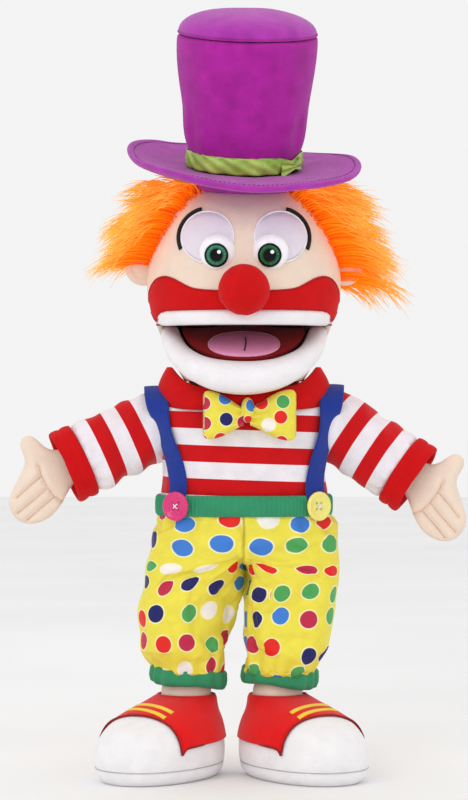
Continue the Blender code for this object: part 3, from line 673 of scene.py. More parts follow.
rows = []
for step in range(13):
    turn = math.pi / 2 * step / 12
    radius = max(0.0574 * math.cos(turn) ** 0.7, 1e-4)
    height = FLOOR + CROWN_HEIGHT + 0.0004 + 0.0185 * math.sin(turn)
    rows.append([
        HAT_FRAME @ Vector((x, y, height + 0.0008 * noise.noise(Vector((x, y, 0)) * 30)))
        for x, y in oval(radius, radius, 96)
    ])
hat_top = wrap("hat_top", rows, brim_fleece, ends=(True, True))
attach(hat_top, "head")
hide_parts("hat_top")
rows = []
for radius, height in (
    (0.047, 0.0), (0.056, -0.002), (0.0575, -0.005), (0.0550, -0.0095), (0.045, -0.015),
):
    rows.append([HAT_FRAME @ Vector((x, y * 0.9, height)) for x, y in oval(radius, radius, 64)])
sweatband = thicken(smooth(wrap("hat_sweatband", rows, brim_fleece), 1), 0.0012)
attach(sweatband, "head")
seam_path = [
    HAT_FRAME @ Vector((x, y, FLOOR + CROWN_HEIGHT)) for x, y in oval(0.0574, 0.0574, 96)
]
top_seam = rope("hat_top_seam", seam_path, 0.0007, crown_fleece, closed=True)
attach(top_seam, "head")


# ---- Hat band --------------------------------------------------------------------------------
# Lime satin ribbon round the foot of the crown. It is pulled into creases and twisted over once
# at the left of the front, where its ends are sewn.
def satin(name, code, bright):
    material = cloth(name, None, fibre=0.0012, nap=0.25, mottle=0.05, sheen=0.0, rough=0.30,
                     print_on=clouded(dye(bright), dye(code)))
    shader = material.node_tree.nodes["Principled BSDF"]
    shader.inputs["Anisotropic"].default_value = 0.5
    shader.inputs["Specular IOR Level"].default_value = 0.7
    return material


lime_satin = satin("lime_satin", "84AE2C", "B8D45E")
rows = []
TWIST = math.radians(-38)
for step in range(9):
    share = step / 8
    row = []
    for i in range(144):
        turn = math.tau * i / 144
        near = math.exp(-(((turn - TWIST % math.tau) / 0.20) ** 2))
        height = FLOOR + 0.0010 + (BAND_HEIGHT - 0.0005) * (0.5 + (share - 0.5) * (1 - 0.45 * near))
        crease = 0.0011 * noise.noise(Vector((turn * 5.0, share * 1.6, 3.1)))
        crease += 0.0008 * math.sin(17 * turn + 9 * share)
        out = 0.0478 + 0.0010 * math.sin(math.pi * share) + crease + 0.0016 * near
        row.append(HAT_FRAME @ Vector((out * math.cos(turn), out * math.sin(turn), height)))
    rows.append(row)
band = thicken(wrap("hat_band", rows, lime_satin), 0.0006)
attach(band, "head")
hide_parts("hat_band")

rows = []
for step in range(15):
    share = step / 14
    turn = TWIST + 0.26 * (share - 0.5) * 2
    pinch = 0.30 + 0.70 * abs(share - 0.5) * 2
    row = []
    for k in range(9):
        level = k / 4 - 1
        height = FLOOR + BAND_HEIGHT / 2 + level * 0.0072 * pinch + 0.0030 * (share - 0.5)
        out = 0.0508 + 0.0024 * (1 - pinch) + 0.0009 * math.cos(level * 7)
        row.append(HAT_FRAME @ Vector((out * math.cos(turn), out * math.sin(turn), height)))
    rows.append(row)
twist = thicken(smooth(wrap("band_twist", rows, lime_satin, closed=False), 1), 0.0006)
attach(twist, "head")


# ---- Hair ------------------------------------------------------------------------------------
# Long-pile orange fur, sewn on from temple to temple under the hat. The pile lies outwards and
# down in locks that come to points, coloured darker at the roots and paler at the tips.
def fur_paint(tree):
    flat = add(tree, "UVMap", {"uv_map": "cloth"}).outputs[0]
    split = add(tree, "SeparateXYZ", Vector=flat)
    # Darker at the roots and paler towards the tips.
    ramp = add(tree, "ValToRGB", Fac=split.outputs[1])
    ramp.color_ramp.elements[0].color = dye("FF6A00")
    ramp.color_ramp.elements[1].color = dye("FFC05A")
    middle = ramp.color_ramp.elements.new(0.45)
    middle.color = dye("FF9018")
    own = add(tree, "TexWhiteNoise", {"noise_dimensions": "1D"}, W=split.outputs[0])
    tone = between(tree, own.outputs["Value"], 0.0, 1.0, 0.88, 1.10)
    return add(tree, "HueSaturation", Value=tone, Color=ramp.outputs[0]).outputs[0]


orange_fur = cloth("orange_fur", None, fibre=0.002, nap=0.1, mottle=0.04, sheen=0.0, rough=0.9,
                   print_on=fur_paint)
FIBRE_GLOW = 0.34
fur_shader = orange_fur.node_tree.nodes["Principled BSDF"]
fur_shader.inputs["Specular IOR Level"].default_value = 0.05
# A faint glow stands for the light that comes through the fibres. Set it to 0 in a dark room.
fur_shader.inputs["Emission Strength"].default_value = FIBRE_GLOW
orange_fur.node_tree.links.new(
    fur_shader.inputs["Base Color"].links[0].from_socket, fur_shader.inputs["Emission Color"]
)
orange_backing = cloth("orange_backing", dye("FF8010"), fibre=0.002, nap=1.0, mottle=0.2)


def under_brim(point):
    """Pushes a point of the pile down until it clears the hat's brim."""
    place = HAT_FRAME.inverted() @ point
    reach = math.hypot(place.x, place.y)
    limit = brim_height(math.atan2(place.y, place.x), reach) - BRIM_HALF - 0.0015
    if reach < BRIM_RADIUS + 0.004 and place.z > limit:
        place.z = limit
    return HAT_FRAME @ place


def behind(root):
    """The pile is trimmed shorter towards the back of the head."""
    return 1 - 0.5 * max(0.0, min(1.0, (root.y - 0.010) / 0.050))


def fur(name, seed, strands, roots, length, spread, locks=70):
    """Strands of pile from roots(share, share), each drawn towards its lock's tip."""
    dice = random.Random(seed)
    guides = []
    for _ in range(locks):
        root, normal = roots(dice.random(), dice.random())
        reach = length * dice.uniform(0.85, 1.25) * behind(root)
        guides.append((root, root + (normal + spread(root, dice) * 0.8) * reach))
    points, faces, layout = [], [], []
    steps, sides = 6, 3
    for index in range(strands):
        root, normal = roots(dice.random(), dice.random())
        guide_tip = min(guides, key=lambda guide: (guide[0] - root).length_squared)[1]
        reach = length * dice.uniform(0.6, 1.1) * behind(root)
        own_tip = root + (normal + spread(root, dice) * dice.uniform(0.6, 1.1)) * reach
        tip = own_tip.lerp(guide_tip, dice.uniform(0.25, 0.75))
        tip += Vector([dice.gauss(0, 0.003) for _ in range(3)])
        lift = root + normal * (tip - root).length * 0.55
        root = root - normal * 0.002
        thick = dice.uniform(0.00045, 0.00085)
        side = (tip - root).cross(Vector((0.3, 0.5, 0.8))).normalized()
        first = len(points)
        for k in range(steps + 1):
            t = k / steps
            middle = under_brim(root * (1 - t) ** 2 + lift * 2 * t * (1 - t) + tip * t * t)
            forward = (lift - root).lerp(tip - lift, t).normalized()
            across = (side - forward * side.dot(forward)).normalized()
            up = forward.cross(across)
            width = thick * (1 - 0.85 * t**1.5)
            for s in range(sides):
                turn = math.tau * s / sides
                points.append(middle + (across * math.cos(turn) + up * math.sin(turn)) * width)
        for k in range(steps):
            for s in range(sides):
                a, b = first + k * sides + s, first + k * sides + (s + 1) % sides
                faces.append((a, b, b + sides, a + sides))
                low, high = k / steps, (k + 1) / steps
                layout += [(index, low), (index, low), (index, high), (index, high)]
        for row in (0, steps):
            ring = [first + row * sides + s for s in range(sides)]
            faces.append(ring if row else ring[::-1])
            layout += [(index, row / steps)] * sides
    return sew(name, points, faces, orange_fur, layout)


def scalp(turn, height):
    """The head's skin in the direction turn, from its left round to its back, at a height."""
    away = Vector((math.cos(turn), math.sin(turn), 0))
    start = Vector((0, 0, height)) + away * 0.3
    hit, normal, _, _ = HEAD_SKIN.ray_cast(start, -away)
    return (hit, normal) if hit else (away * 0.05 + Vector((0, 0, height)), away)


def side_roots(sign, low, high):
    def roots(first, second):
        height = low + (high - low) * second
        front = math.radians(-46 + 36 * (high - height) / (high - 0.050))
        turn = front + (math.radians(78) - front) * first
        hit, normal = scalp(turn, height)
        return Vector((hit.x * sign, hit.y, hit.z)), Vector((normal.x * sign, normal.y, normal.z))

    return roots


def back_roots(first, second):
    return scalp(math.radians(50 + 80 * first), 0.030 + 0.080 * second)


def side_fall(sign, drop):
    def fall(root, dice):
        return Vector((sign * dice.uniform(0.1, 0.5), dice.uniform(-0.25, 0.3),
                       -drop * dice.uniform(0.5, 1.3)))

    return fall


def back_fall(root, dice):
    return Vector((dice.uniform(-0.3, 0.3), -0.15, -dice.uniform(0.8, 1.4)))


tufts = {
    "hair_left": fur("hair_left", 3, 2500, side_roots(1, 0.036, 0.114), 0.040, side_fall(1, 0.75)),
    "hair_right": fur(
        "hair_right", 7, 2100, side_roots(-1, 0.050, 0.114), 0.037, side_fall(-1, 0.75)
    ),
    "hair_back": fur("hair_back", 11, 1700, back_roots, 0.022, back_fall),
}
for name, tuft in tufts.items():
    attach(tuft, "head")
    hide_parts(name)

rows = []
for k in range(14):
    height = 0.044 + 0.066 * k / 13
    row = []
    for i in range(49):
        front = -42 + 42 * (0.116 - height) / 0.070
        turn = math.radians(front + (180 - 2 * front) * i / 48)
        hit, normal = scalp(turn, height)
        row.append(hit + normal * 0.0022)
    rows.append(row)
backing = thicken(wrap("hair_backing", rows, orange_backing, closed=False), 0.0016)
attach(backing, "head")


# ---- Mouth roof ------------------------------------------------------------------------------
# A stiff board inside the head, lined below with deep red felt. An elastic strap above it holds
# the fingers.
mouth_felt = cloth("mouth_felt", dye("8A0F12"), fibre=0.0014, nap=0.5, mottle=0.08, sheen=0.1)
board = cloth("mouth_board", dye("8E1A1E"), fibre=0.003, nap=0.2, mottle=0.1, sheen=0.0)
elastic = cloth("black_elastic", dye("2A2A2E"), fibre=0.0009, nap=0.8, mottle=0.15, sheen=0.1)


def half_moon(half_width, depth, height, rings=6, count=33):
    """Rows of points over a half oval whose straight side is at the hinge."""
    rows = []
    for r in range(rings + 1):
        share = max(r / rings, 0.02)
        line = arc((0, 0), half_width * share, depth * share, 3, 177, count - 1)
        rows.append([Vector((x, -y, height)) for x, y in line])
    return rows


roof = thicken(
    wrap("mouth_roof", half_moon(0.0735, 0.0700, 0.0004), mouth_felt, closed=False), 0.0009, 1.0
)
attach(roof, "head")
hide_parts("upper_mouth_lining")
for name in ("upper_mouth_plate", "lower_mouth_plate"):
    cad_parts[name].data.materials.clear()
    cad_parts[name].data.materials.append(board)
for name in ("finger_strap", "thumb_strap"):
    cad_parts[name].data.materials.clear()
    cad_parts[name].data.materials.append(elastic)


# ---- Jaw -------------------------------------------------------------------------------------
# The lower board is lined like the roof and carries a pink felt tongue. A padded roll of white
# fleece makes the lip, and a peach cup below it makes the chin.
JAW = Matrix.Rotation(math.radians(28), 4, "X")


def jaw_place(points):
    return [JAW @ Vector(p) for p in points]


rows = [jaw_place(row) for row in half_moon(0.0520, 0.0615, 0.0002)]
floor_felt = thicken(wrap("mouth_floor", rows, mouth_felt, closed=False), 0.0007, 1.0)
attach(floor_felt, "jaw")
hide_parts("lower_mouth_lining")


def tongue_paint_shaded_back(tree):
    where = add(tree, "TexCoord").outputs["Object"]
    split = add(tree, "SeparateXYZ", Vector=where)
    mixed = add(tree, "Mix", {"data_type": "RGBA"})
    # Painted shade: bright pink at the front of the tongue and darker pink at the back, where shade
    # falls inside the mouth.
    tree.links.new(between(tree, split.outputs[1], -0.050, -0.018, 0.0, 1.0), mixed.inputs[0])
    mixed.inputs[6].default_value = dye("FBA4D2")
    mixed.inputs[7].default_value = dye("D070A8")
    return mixed.outputs[2]


tongue_felt = cloth("tongue_felt", None, fibre=0.0012, nap=0.3, mottle=0.04, print_on=tongue_paint_shaded_back)
rows = []
for r in range(13):
    share = max(r / 12, 0.02)
    height = 0.0009 + 0.0016 * math.sqrt(1 - share**2.4)
    row = [(x, -0.036 + y, height) for x, y in oval(0.0292 * share, 0.0222 * share, 64, 2.2)]
    rows.append(jaw_place(row))
tongue = wrap("tongue", rows, tongue_felt)
for vertex in tongue.data.vertices:
    groove = JAW.inverted() @ vertex.co
    if -0.052 < groove.y < -0.024:
        bend = 0.0015 * math.sin((groove.y + 0.052) * 90)
        vertex.co.z -= 0.0012 * math.exp(-(((groove.x - bend) / 0.0012) ** 2))
thicken(tongue, 0.0009)
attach(tongue, "jaw")
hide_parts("tongue")
tongue_edge = rope(
    "tongue_stitch",
    jaw_place([(x, -0.036 + y, 0.0016) for x, y in oval(0.0292, 0.0222, 64, 2.2)]),
    0.0006,
    satin_thread("pink_thread", "F0B4D0"),
    closed=True,
)
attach(tongue_edge, "jaw")
line = [
    JAW @ Vector((0.0015 * math.sin((y + 0.052) * 90), y, 0.0027))
    for y in np.linspace(-0.050, -0.026, 12)
]
tongue_line = rope("tongue_line", line, 0.0006, satin_thread("wine_thread", "4A1230"))
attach(tongue_line, "jaw")

path, radii = [], []
for step in range(49):
    turn = math.radians(2 + 176 * step / 48)
    fullness = math.sin(turn) ** 2
    radius = 0.0080 + 0.0048 * fullness
    x = 0.0615 * math.copysign(abs(math.cos(turn)) ** 0.85, math.cos(turn))
    rise = 0.0022 * abs(math.cos(turn)) ** 8
    path.append(JAW @ Vector((x, -0.0705 * math.sin(turn), 0.0020 + rise - radius)))
    radii.append(radius)
radii[0] *= 0.6
radii[-1] *= 0.6
lower_lip = rope("lower_lip", path, radii, white_fleece, sides=24)
for vertex in lower_lip.data.vertices:
    vertex.co += vertex.normal * noise.noise(vertex.co * 50) * 0.0007
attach(lower_lip, "jaw")
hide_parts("lower_lip")

chin = ball("chin", (0, -0.030, -0.009), (0.0575, 0.0495, 0.0300), peach_fleece, 56, 36)
bm = bmesh.new()
bm.from_mesh(chin.data)
throat = (0, math.cos(math.radians(-24)), math.sin(math.radians(-24)))
for point, normal in (((0, 0, -0.0125), (0, 0, 1)), ((0, -0.002, 0), throat)):
    bmesh.ops.bisect_plane(
        bm,
        geom=[*bm.verts, *bm.edges, *bm.faces],
        plane_co=point,
        plane_no=normal,
        clear_outer=True,
    )
bm.transform(JAW)
bm.to_mesh(chin.data)
bm.free()
thicken(chin, 0.003)
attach(chin, "jaw")
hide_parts("chin_shell")


# ---- Cheek and throat cloth --------------------------------------------------------------------
# Peach fleece that joins the head to the jaw behind the mouth, slack enough for the jaw to open.
rows = []
for step in range(13):
    share = step / 12
    turn = math.radians(126 - 40 * share)
    half, deep = 0.0665 - 0.0150 * share, 0.0500 - 0.0070 * share
    slack = 0.0022 * math.sin(math.pi * share) - 0.0010
    row = []
    for k in range(41):
        swing = math.pi * (0.03 + 0.94 * k / 40)
        x = (half + slack) * math.copysign(abs(math.cos(swing)) ** 0.8, math.cos(swing))
        reach = (deep + slack) * math.sin(swing) ** 0.8 + 0.003
        row.append((x, -reach * math.cos(turn), -reach * math.sin(turn)))
    rows.append(row)
throat_fleece = cloth("throat_fleece", dye("EBCBB2"), fibre=0.0013, nap=0.35, mottle=0.03,
                      laid_flat=True)
throat_cloth = thicken(wrap("throat_cloth", rows, throat_fleece, closed=False), 0.0014)
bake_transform(throat_cloth)


# ---- Neck ------------------------------------------------------------------------------------
# A plain peach tube from the head's open foot into the collar.
rows = []
for height, half_x, half_y in (
    (-0.040, 0.046, 0.022),
    (-0.047, 0.045, 0.019),
    (-0.054, 0.0445, 0.018),
    (-0.062, 0.045, 0.0185),
    (-0.072, 0.046, 0.019),
):
    rows.append([(x, 0.0235 + y, height) for x, y in oval(half_x, half_y, 48)])
neck = thicken(smooth(wrap("neck", rows, peach_fleece), 1), 0.002)
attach(neck, "neck")
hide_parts("neck_tube")


# ---- Shirt -----------------------------------------------------------------------------------
# A pullover in red and white striped jersey with a brushed face. It is gathered into the
# waistband, and its back has a bound opening for the hand.
TRUNK_Y, STRIPE = 0.016, 0.0276
SHIRT_RINGS = (  # height, half width, half depth, forward tilt
    (-0.154, 0.0680, 0.0410, 0),
    (-0.141, 0.0695, 0.0420, 0),
    (-0.120, 0.0680, 0.0430, 0),
    (-0.095, 0.0715, 0.0430, 0),
    (-0.076, 0.0765, 0.0420, 0),
    (-0.067, 0.0750, 0.0400, 3),
    (-0.0625, 0.0670, 0.0370, 4),
    (-0.0590, 0.0550, 0.0320, 5),
)


def striped(name, middle, period=STRIPE):
    """Jersey knitted in red and white bands. A red band's middle is at the given place."""

    def paint(tree):
        flat = add(tree, "UVMap", {"uv_map": "cloth"}).outputs[0]
        level = add(tree, "SeparateXYZ", Vector=flat).outputs[1]
        steps = work(tree, "DIVIDE", work(tree, "SUBTRACT", level, middle), period)
        cycle = work(tree, "FRACT", work(tree, "ADD", steps, 0.5))
        far = work(tree, "ABSOLUTE", work(tree, "SUBTRACT", cycle, 0.5))
        mixed = add(tree, "Mix", {"data_type": "RGBA"})
        tree.links.new(between(tree, far, 0.245, 0.255, 1.0, 0.0), mixed.inputs[0])
        mixed.inputs[6].default_value = dye("EFEAF0")
        mixed.inputs[7].default_value = dye("CC040E")
        return mixed.outputs[2]

    return cloth(name, None, fibre=0.0013, nap=0.5, mottle=0.05, sheen=0.2, print_on=paint,
                 laid_flat=True)


def trunk_ring(height, half_width, half_depth, tilt=0.0, grow=0.0, count=128):
    slope = math.tan(math.radians(tilt))
    ring = oval(half_width + grow, half_depth + grow, count, 2.5)
    return [Vector((x, TRUNK_Y + y, height + y * slope)) for x, y in ring]


rows = []
for height, half_width, half_depth, tilt in finer(SHIRT_RINGS, 4):
    row = trunk_ring(height, half_width, half_depth, tilt)
    for point in row:
        turn = math.atan2(point.y - TRUNK_Y, point.x)
        gather = 0.0009 * math.exp(-(((height + 0.148) / 0.014) ** 2)) * math.sin(24 * turn)
        drag = noise.noise(Vector((point.x * 15, point.y * 15, height * 40 + point.x * 12)))
        point += Vector((math.cos(turn), math.sin(turn), 0)) * (gather + 0.0027 * drag)
    rows.append(row)
shirt_jersey = striped("shirt_jersey", -0.0795)
shirt = wrap("shirt", rows, shirt_jersey, along=[row[0].z for row in rows])
flat = shirt.data.uv_layers["cloth"]
for loop in shirt.data.loops:
    place = shirt.data.vertices[loop.vertex_index].co
    flat.data[loop.index].uv[1] = place.z + 0.035 * place.x
bpy.context.view_layer.update()
SHIRT_SKIN = BVHTree.FromObject(shirt, bpy.context.evaluated_depsgraph_get())
thicken(shirt, 0.0026)


def cut(piece, cutter, operation="DIFFERENCE"):
    modifier = piece.modifiers.new("cut", "BOOLEAN")
    modifier.operation = operation
    modifier.object = cutter
    modifier.solver = "EXACT"
    settle(piece)
    bpy.data.objects.remove(cutter)
    return piece


hole = oval(0.046, 0.032, 56, 2.6)
rows = [[(x, y, z - 0.105) for x, z in hole] for y in (0.035, 0.090)]
cut(shirt, wrap("hand_hole", rows, shirt_jersey, ends=(True, True)))
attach(shirt, "torso")
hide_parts("shirt_body")

hem_path = []
for x, z in oval(0.0462, 0.0322, 72, 2.6):
    hit, normal, _, _ = SHIRT_SKIN.ray_cast(Vector((x, 0.3, z - 0.105)), Vector((0, -1, 0)))
    hem_path.append(hit - normal * 0.0010)
hem = rope("shirt_hem", hem_path, 0.0024, red_felt, closed=True, sides=10)
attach(hem, "torso")


# ---- Collar ----------------------------------------------------------------------------------
# The same red jersey, doubled into a soft roll. It dips under the chin and stands up beside it.
rows = []
for share, outside in [(k / 10, 0) for k in range(11)] + [(1 - k / 12, 1) for k in range(13)]:
    row = []
    high_ring = trunk_ring(0.0, 0.0620, 0.0385)
    low_ring = trunk_ring(*SHIRT_RINGS[-1])
    for index, high in enumerate(high_ring):
        front = max(0.0, min(1.0, (TRUNK_Y - 0.012 - high.y) / 0.026))
        front = front * front * (3 - 2 * front)
        back = max(0.0, (high.y - TRUNK_Y) / 0.038)
        high.z = -0.034 - 0.0175 * front - 0.018 * back
        high.y += 0.008 * back - 0.003 * front
        out = Vector((high.x, (high.y - TRUNK_Y) * 2, 0)).normalized()
        low = low_ring[index].copy()
        low.z -= 0.0015
        if outside:
            low = high + out * (0.0085 - 0.0025 * front)
            low.z = -0.0665 - 0.0035 * front - 0.001 * back
        point = low.lerp(high, share)
        if outside:
            point += out * 0.0035 * math.sin(math.pi * share)
            point += out * 0.0016 * noise.noise(Vector((point.x * 30, point.y * 30, 0)))
            point += out * 0.0026 * (1 - (1 - share) ** 3)
        row.append(point)
    rows.append(row)
rows.append(rows[0])
collar = wrap("collar", rows, red_felt)
weld(collar, 1e-5)
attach(collar, "torso")
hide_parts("collar")


# ---- Bow tie ---------------------------------------------------------------------------------
# Two loops of yellow cotton printed with dots, lightly filled, pinched in at the middle by a
# separate band of the same print.
def dotted(name, spacing, size, ground="EFE14C"):
    """A print of dots in six colours, each with a thin pale line round it."""

    def paint(tree):
        flat = add(tree, "UVMap", {"uv_map": "cloth"}).outputs[0]
        cells = add(
            tree, "TexVoronoi", {"voronoi_dimensions": "2D"}, Vector=flat, Scale=1 / spacing,
            Randomness=0.42,
        )
        share = add(tree, "SeparateColor", Color=cells.outputs["Color"]).outputs[0]
        dyes = add(tree, "ValToRGB", Fac=share)
        ramp = dyes.color_ramp
        ramp.interpolation = "CONSTANT"
        ramp.elements[0].color = dye("E8241C")
        ramp.elements[1].position = 0.84
        ramp.elements[1].color = dye("F6F2EA")
        for place, code in ((0.22, "4FA85A"), (0.40, "C4284A"), (0.56, "3F7FD6"), (0.70, "1E1F66")):
            ramp.elements.new(place).color = dye(code)
        half = size / spacing / 2
        colours = [dye(ground), dye("F8F4C0"), dyes.outputs[0]]
        for step, (low, high) in enumerate(((half + 0.020, half + 0.040), (half - 0.02, half))):
            mixed = add(tree, "Mix", {"data_type": "RGBA"})
            near = between(tree, cells.outputs["Distance"], low, high, 1.0, 0.0)
            tree.links.new(near, mixed.inputs[0])
            for socket, value in ((6, colours[0]), (7, colours[step + 1])):
                if isinstance(value, tuple):
                    mixed.inputs[socket].default_value = value
                else:
                    tree.links.new(value, mixed.inputs[socket])
            colours[0] = mixed.outputs[2]
        return colours[0]

    return cloth(name, None, fibre=0.0009, nap=0.3, mottle=0.04, sheen=0.1, rough=0.6,
                 print_on=paint, laid_flat=True)


bow_print = dotted("bow_print", 0.0165, 0.0110)
for side, sign in SIDES.items():
    inner, outer = (0.0050, 0.0430) if sign > 0 else (0.0002, 0.0338)
    tall = 0.0210 if sign > 0 else 0.0200
    rows = []
    for step in range(25):
        share = step / 24
        reach = inner + (outer - inner) * share
        half_tall = 0.0075 + (tall - 0.0075) * math.sin(math.pi / 2 * min(1, share * 1.15)) ** 1.3
        half_tall *= math.sqrt(max(0.0, 1 - max(0.0, (share - 0.86) / 0.145) ** 2)) * 0.25 + 0.75
        half_deep = 0.0050 + 0.0045 * math.sin(math.pi * min(1.0, share * 0.9)) ** 0.8
        half_deep *= math.sqrt(max(1e-4, 1 - share**7))
        row = []
        for y, z in oval(1.0, 1.0, 64, 2.4):
            pinch = 0.0022 * (1 - share) ** 1.2 * math.cos(z * 9.0) * (1 if y < 0 else -0.5)
            level = -0.0752 + z * half_tall + 0.0015 * share
            curl = 0.0012 * noise.noise(Vector((reach * 70, level * 70, y)))
            row.append((sign * reach, -0.0350 + y * half_deep - pinch + curl, level))
        rows.append(row)
    loop_piece = wrap(f"bow_{side}", rows, bow_print, ends=(True, True))
    flat = loop_piece.data.uv_layers["cloth"]
    for loop in loop_piece.data.loops:
        place = loop_piece.data.vertices[loop.vertex_index].co
        flat.data[loop.index].uv = (place.x + 0.3, place.z + (0.5 if place.y > -0.035 else 0.0))
    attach(loop_piece, "torso")
    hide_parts(f"bow_{side}")
knot = ball("bow_knot", (0.003, -0.0365, -0.0700), (0.0060, 0.0080, 0.0105), bow_print, 40, 24)
for vertex in knot.data.vertices:
    vertex.co.y += 0.0006 * math.cos((vertex.co.x - 0.003) * 1900)
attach(knot, "torso")
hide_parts("bow_knot")


# ---- Suspenders ------------------------------------------------------------------------------
# Blue woven webbing, buttoned to the waistband in front, over the shoulders and down to the
# waistband behind.
WEBBING_HALF = 0.0096
webbing = cloth("blue_webbing", dye("1D3A9A"), fibre=0.0010, nap=0.4, mottle=0.08, sheen=0.15,
                weave=0.0011)
for side, sign in SIDES.items():
    foot = 0.0575 if sign > 0 else 0.0540
    route = [(foot, -0.040, -0.1540, 0.0068), (foot, -0.040, -0.1450, 0.0066)]
    route += [(foot, -0.040, -0.1410, 0.0036), (foot, -0.040, -0.1370, 0.0012)]
    route += [(foot + (0.0700 - foot) * (k / 9) ** 1.6, -0.040, -0.137 + 0.0072 * k,
               0.0012 + 0.0032 * math.exp(-(((k - 6.5) / 2.5) ** 2))) for k in range(1, 10)]
    route += [(0.0725, -0.0125, -0.0640, 0.0), (0.0738, -0.0060, -0.0545, 0.0)]
    route += [(0.0745, 0.0045, -0.0490, 0.0), (0.0745, 0.0160, -0.0478, 0.0)]
    route += [(0.0745, 0.0275, -0.0490, 0.0), (0.0738, 0.0375, -0.0545, 0.0)]
    route += [(0.0725, 0.0435, -0.0640, 0.0)]
    route += [(0.0700 - 0.0015 * k, 0.060, -0.0780 - 0.0072 * k, 0.0030 - 0.0002 * k)
              for k in range(10)]
    middles = []
    for x, y, z, lift in finer(route, 2):
        hit, normal = Vector((sign * x, y, z)), Vector((0, y - 0.016, z + 0.085)).normalized()
        if z < -0.070:
            start = Vector((sign * x, math.copysign(0.3, y), max(z, -0.152)))
            toward = Vector((0, -start.y, 0)).normalized()
            front, facing, _, _ = SHIRT_SKIN.ray_cast(start, toward)
            if front:
                hit, normal = Vector((front.x, front.y, z)), facing
        middles.append((hit + normal * lift, normal))
    for _ in range(8):
        inner = [
            tuple((a[i] + b[i] * 2 + c[i]) / 4 for i in (0, 1))
            for a, b, c in zip(middles, middles[1:], middles[2:])
        ]
        middles = [middles[0], *inner, middles[-1]]
    rows = []
    for middle, normal in middles:
        normal = normal.normalized()
        across = (Vector((1, 0, 0)) - normal * normal.x).normalized()
        row = []
        for k in range(7):
            part = (k / 3 - 1) * sign
            row.append(middle + across * (WEBBING_HALF * part) - normal * (0.0007 * part * part))
        rows.append(row)
    strap = thicken(smooth(wrap(f"{side}_suspender", rows, webbing, closed=False), 1), 0.0013, 1.0)
    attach(strap, "torso")
    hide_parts(f"{side}_suspender")


# ---- Waistband -------------------------------------------------------------------------------
# Green ribbed knit, doubled over elastic, that holds the shirt's lower edge and the trousers.
green_knit = cloth("green_knit", dye("35946A"), fibre=0.0012, nap=0.6, mottle=0.06, sheen=0.2)
rows = []
for grow, height in (
    (0.0024, -0.1575), (0.0046, -0.1582), (0.0060, -0.1565), (0.0064, -0.1530), (0.0064, -0.1460),
    (0.0060, -0.1425), (0.0046, -0.1408), (0.0024, -0.1412), (0.0020, -0.1490),
):
    row = trunk_ring(height, 0.068, 0.041, grow=grow, count=720)
    for index, point in enumerate(row):
        turn = math.atan2(point.y - TRUNK_Y, point.x)
        rib = 0.00045 * math.cos(index * math.tau / 6) if grow > 0.004 else 0.0
        rib += 0.0006 * noise.noise(point * 40)
        point += Vector((math.cos(turn), math.sin(turn), 0)) * rib
    rows.append(row)
rows.append(rows[0])
waistband = wrap("waistband", rows, green_knit)
weld(waistband)
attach(waistband, "torso")
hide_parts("waistband")


# ---- Buttons ---------------------------------------------------------------------------------
# Moulded four-hole buttons, pink at the puppet's right and yellow at its left, sewn on through
# the webbing with crossed thread.
def along_frame(direction, across):
    """A turn whose Z runs along direction, with X as near to across as it can lie."""
    z = Vector(direction).normalized()
    x = Vector(across)
    x = (x - z * z.dot(x)).normalized()
    return Matrix((x, z.cross(x), z)).transposed().to_4x4()


def turned(name, profile, material, count=64, closed=True):
    """Turns a profile of (radius, height) round Z."""
    rows = [
        [(radius * x, radius * y, height) for x, y in oval(1.0, 1.0, count)]
        for radius, height in profile
    ]
    piece = wrap(name, rows, material, ends=(closed, closed))
    return piece


for side, code, x in (("right", "DC1E74", -0.0540), ("left", "F2E878", 0.0590)):
    share = abs(x) / 0.0734
    y = TRUNK_Y - 0.0464 * (1 - share**2.5) ** (1 / 2.5)
    normal = Vector((
        math.copysign(share**1.5 / 0.0734, x),
        -(((TRUNK_Y - y) / 0.0464) ** 1.5) / 0.0464,
        0,
    )).normalized()
    seat = Matrix.Translation(Vector((x, y, -0.1495)) + normal * 0.0032)
    seat = seat @ along_frame(normal, (0, 0, 1))
    button_gloss = gloss(f"{side}_button_gloss", dye(code), rough=0.25, coat=0.4)
    profile = [(0.0001, 0.0), (0.0106, 0.0), (0.0119, 0.0010), (0.0122, 0.0020), (0.0120, 0.0030)]
    profile += [(0.0113, 0.0036), (0.0100, 0.0037), (0.0090, 0.0030), (0.0078, 0.0024)]
    profile += [(0.0040, 0.0023), (0.0001, 0.0023)]
    button = turned(f"{side}_button", profile, button_gloss)
    stitches = []
    for k in range(4):
        turn = math.radians(45 + 90 * k)
        place = (0.0030 * math.cos(turn), 0.0030 * math.sin(turn))
        rows = [
            [(place[0] + px, place[1] + py, z) for px, py in oval(0.0011, 0.0011, 16)]
            for z in (-0.001, 0.005)
        ]
        cut(button, wrap("thread_hole", rows, button_gloss, ends=(True, True)))
        stitches.append(Vector((*place, 0.0018)))
    for index, (a, b) in enumerate(((0, 2), (1, 3))):
        middle = (stitches[a] + stitches[b]) / 2 + Vector((0, 0, 0.0014))
        loops = [stitches[a], stitches[a].lerp(middle, 0.6) + Vector((0, 0, 0.0006)), middle]
        loops += [stitches[b].lerp(middle, 0.6) + Vector((0, 0, 0.0006)), stitches[b]]
        thread = rope(f"{side}_button_thread_{index}", finer(loops, 3), 0.0005, white_thread)
        thread.data.transform(seat)
        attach(thread, "torso")
    button.data.transform(seat)
    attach(button, "torso")
    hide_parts(f"{side}_button")


# ---- Trousers --------------------------------------------------------------------------------
# Two halves of soft dotted cotton, each cut full, filled with loose fibre and gathered at waist
# and ankle. One seam joins them down the middle.
HIP_X, HIP_Y, HIP_Z, ANKLE_Z, LEG_LEAN = 0.0385, 0.012, -0.208, -0.310, -0.010


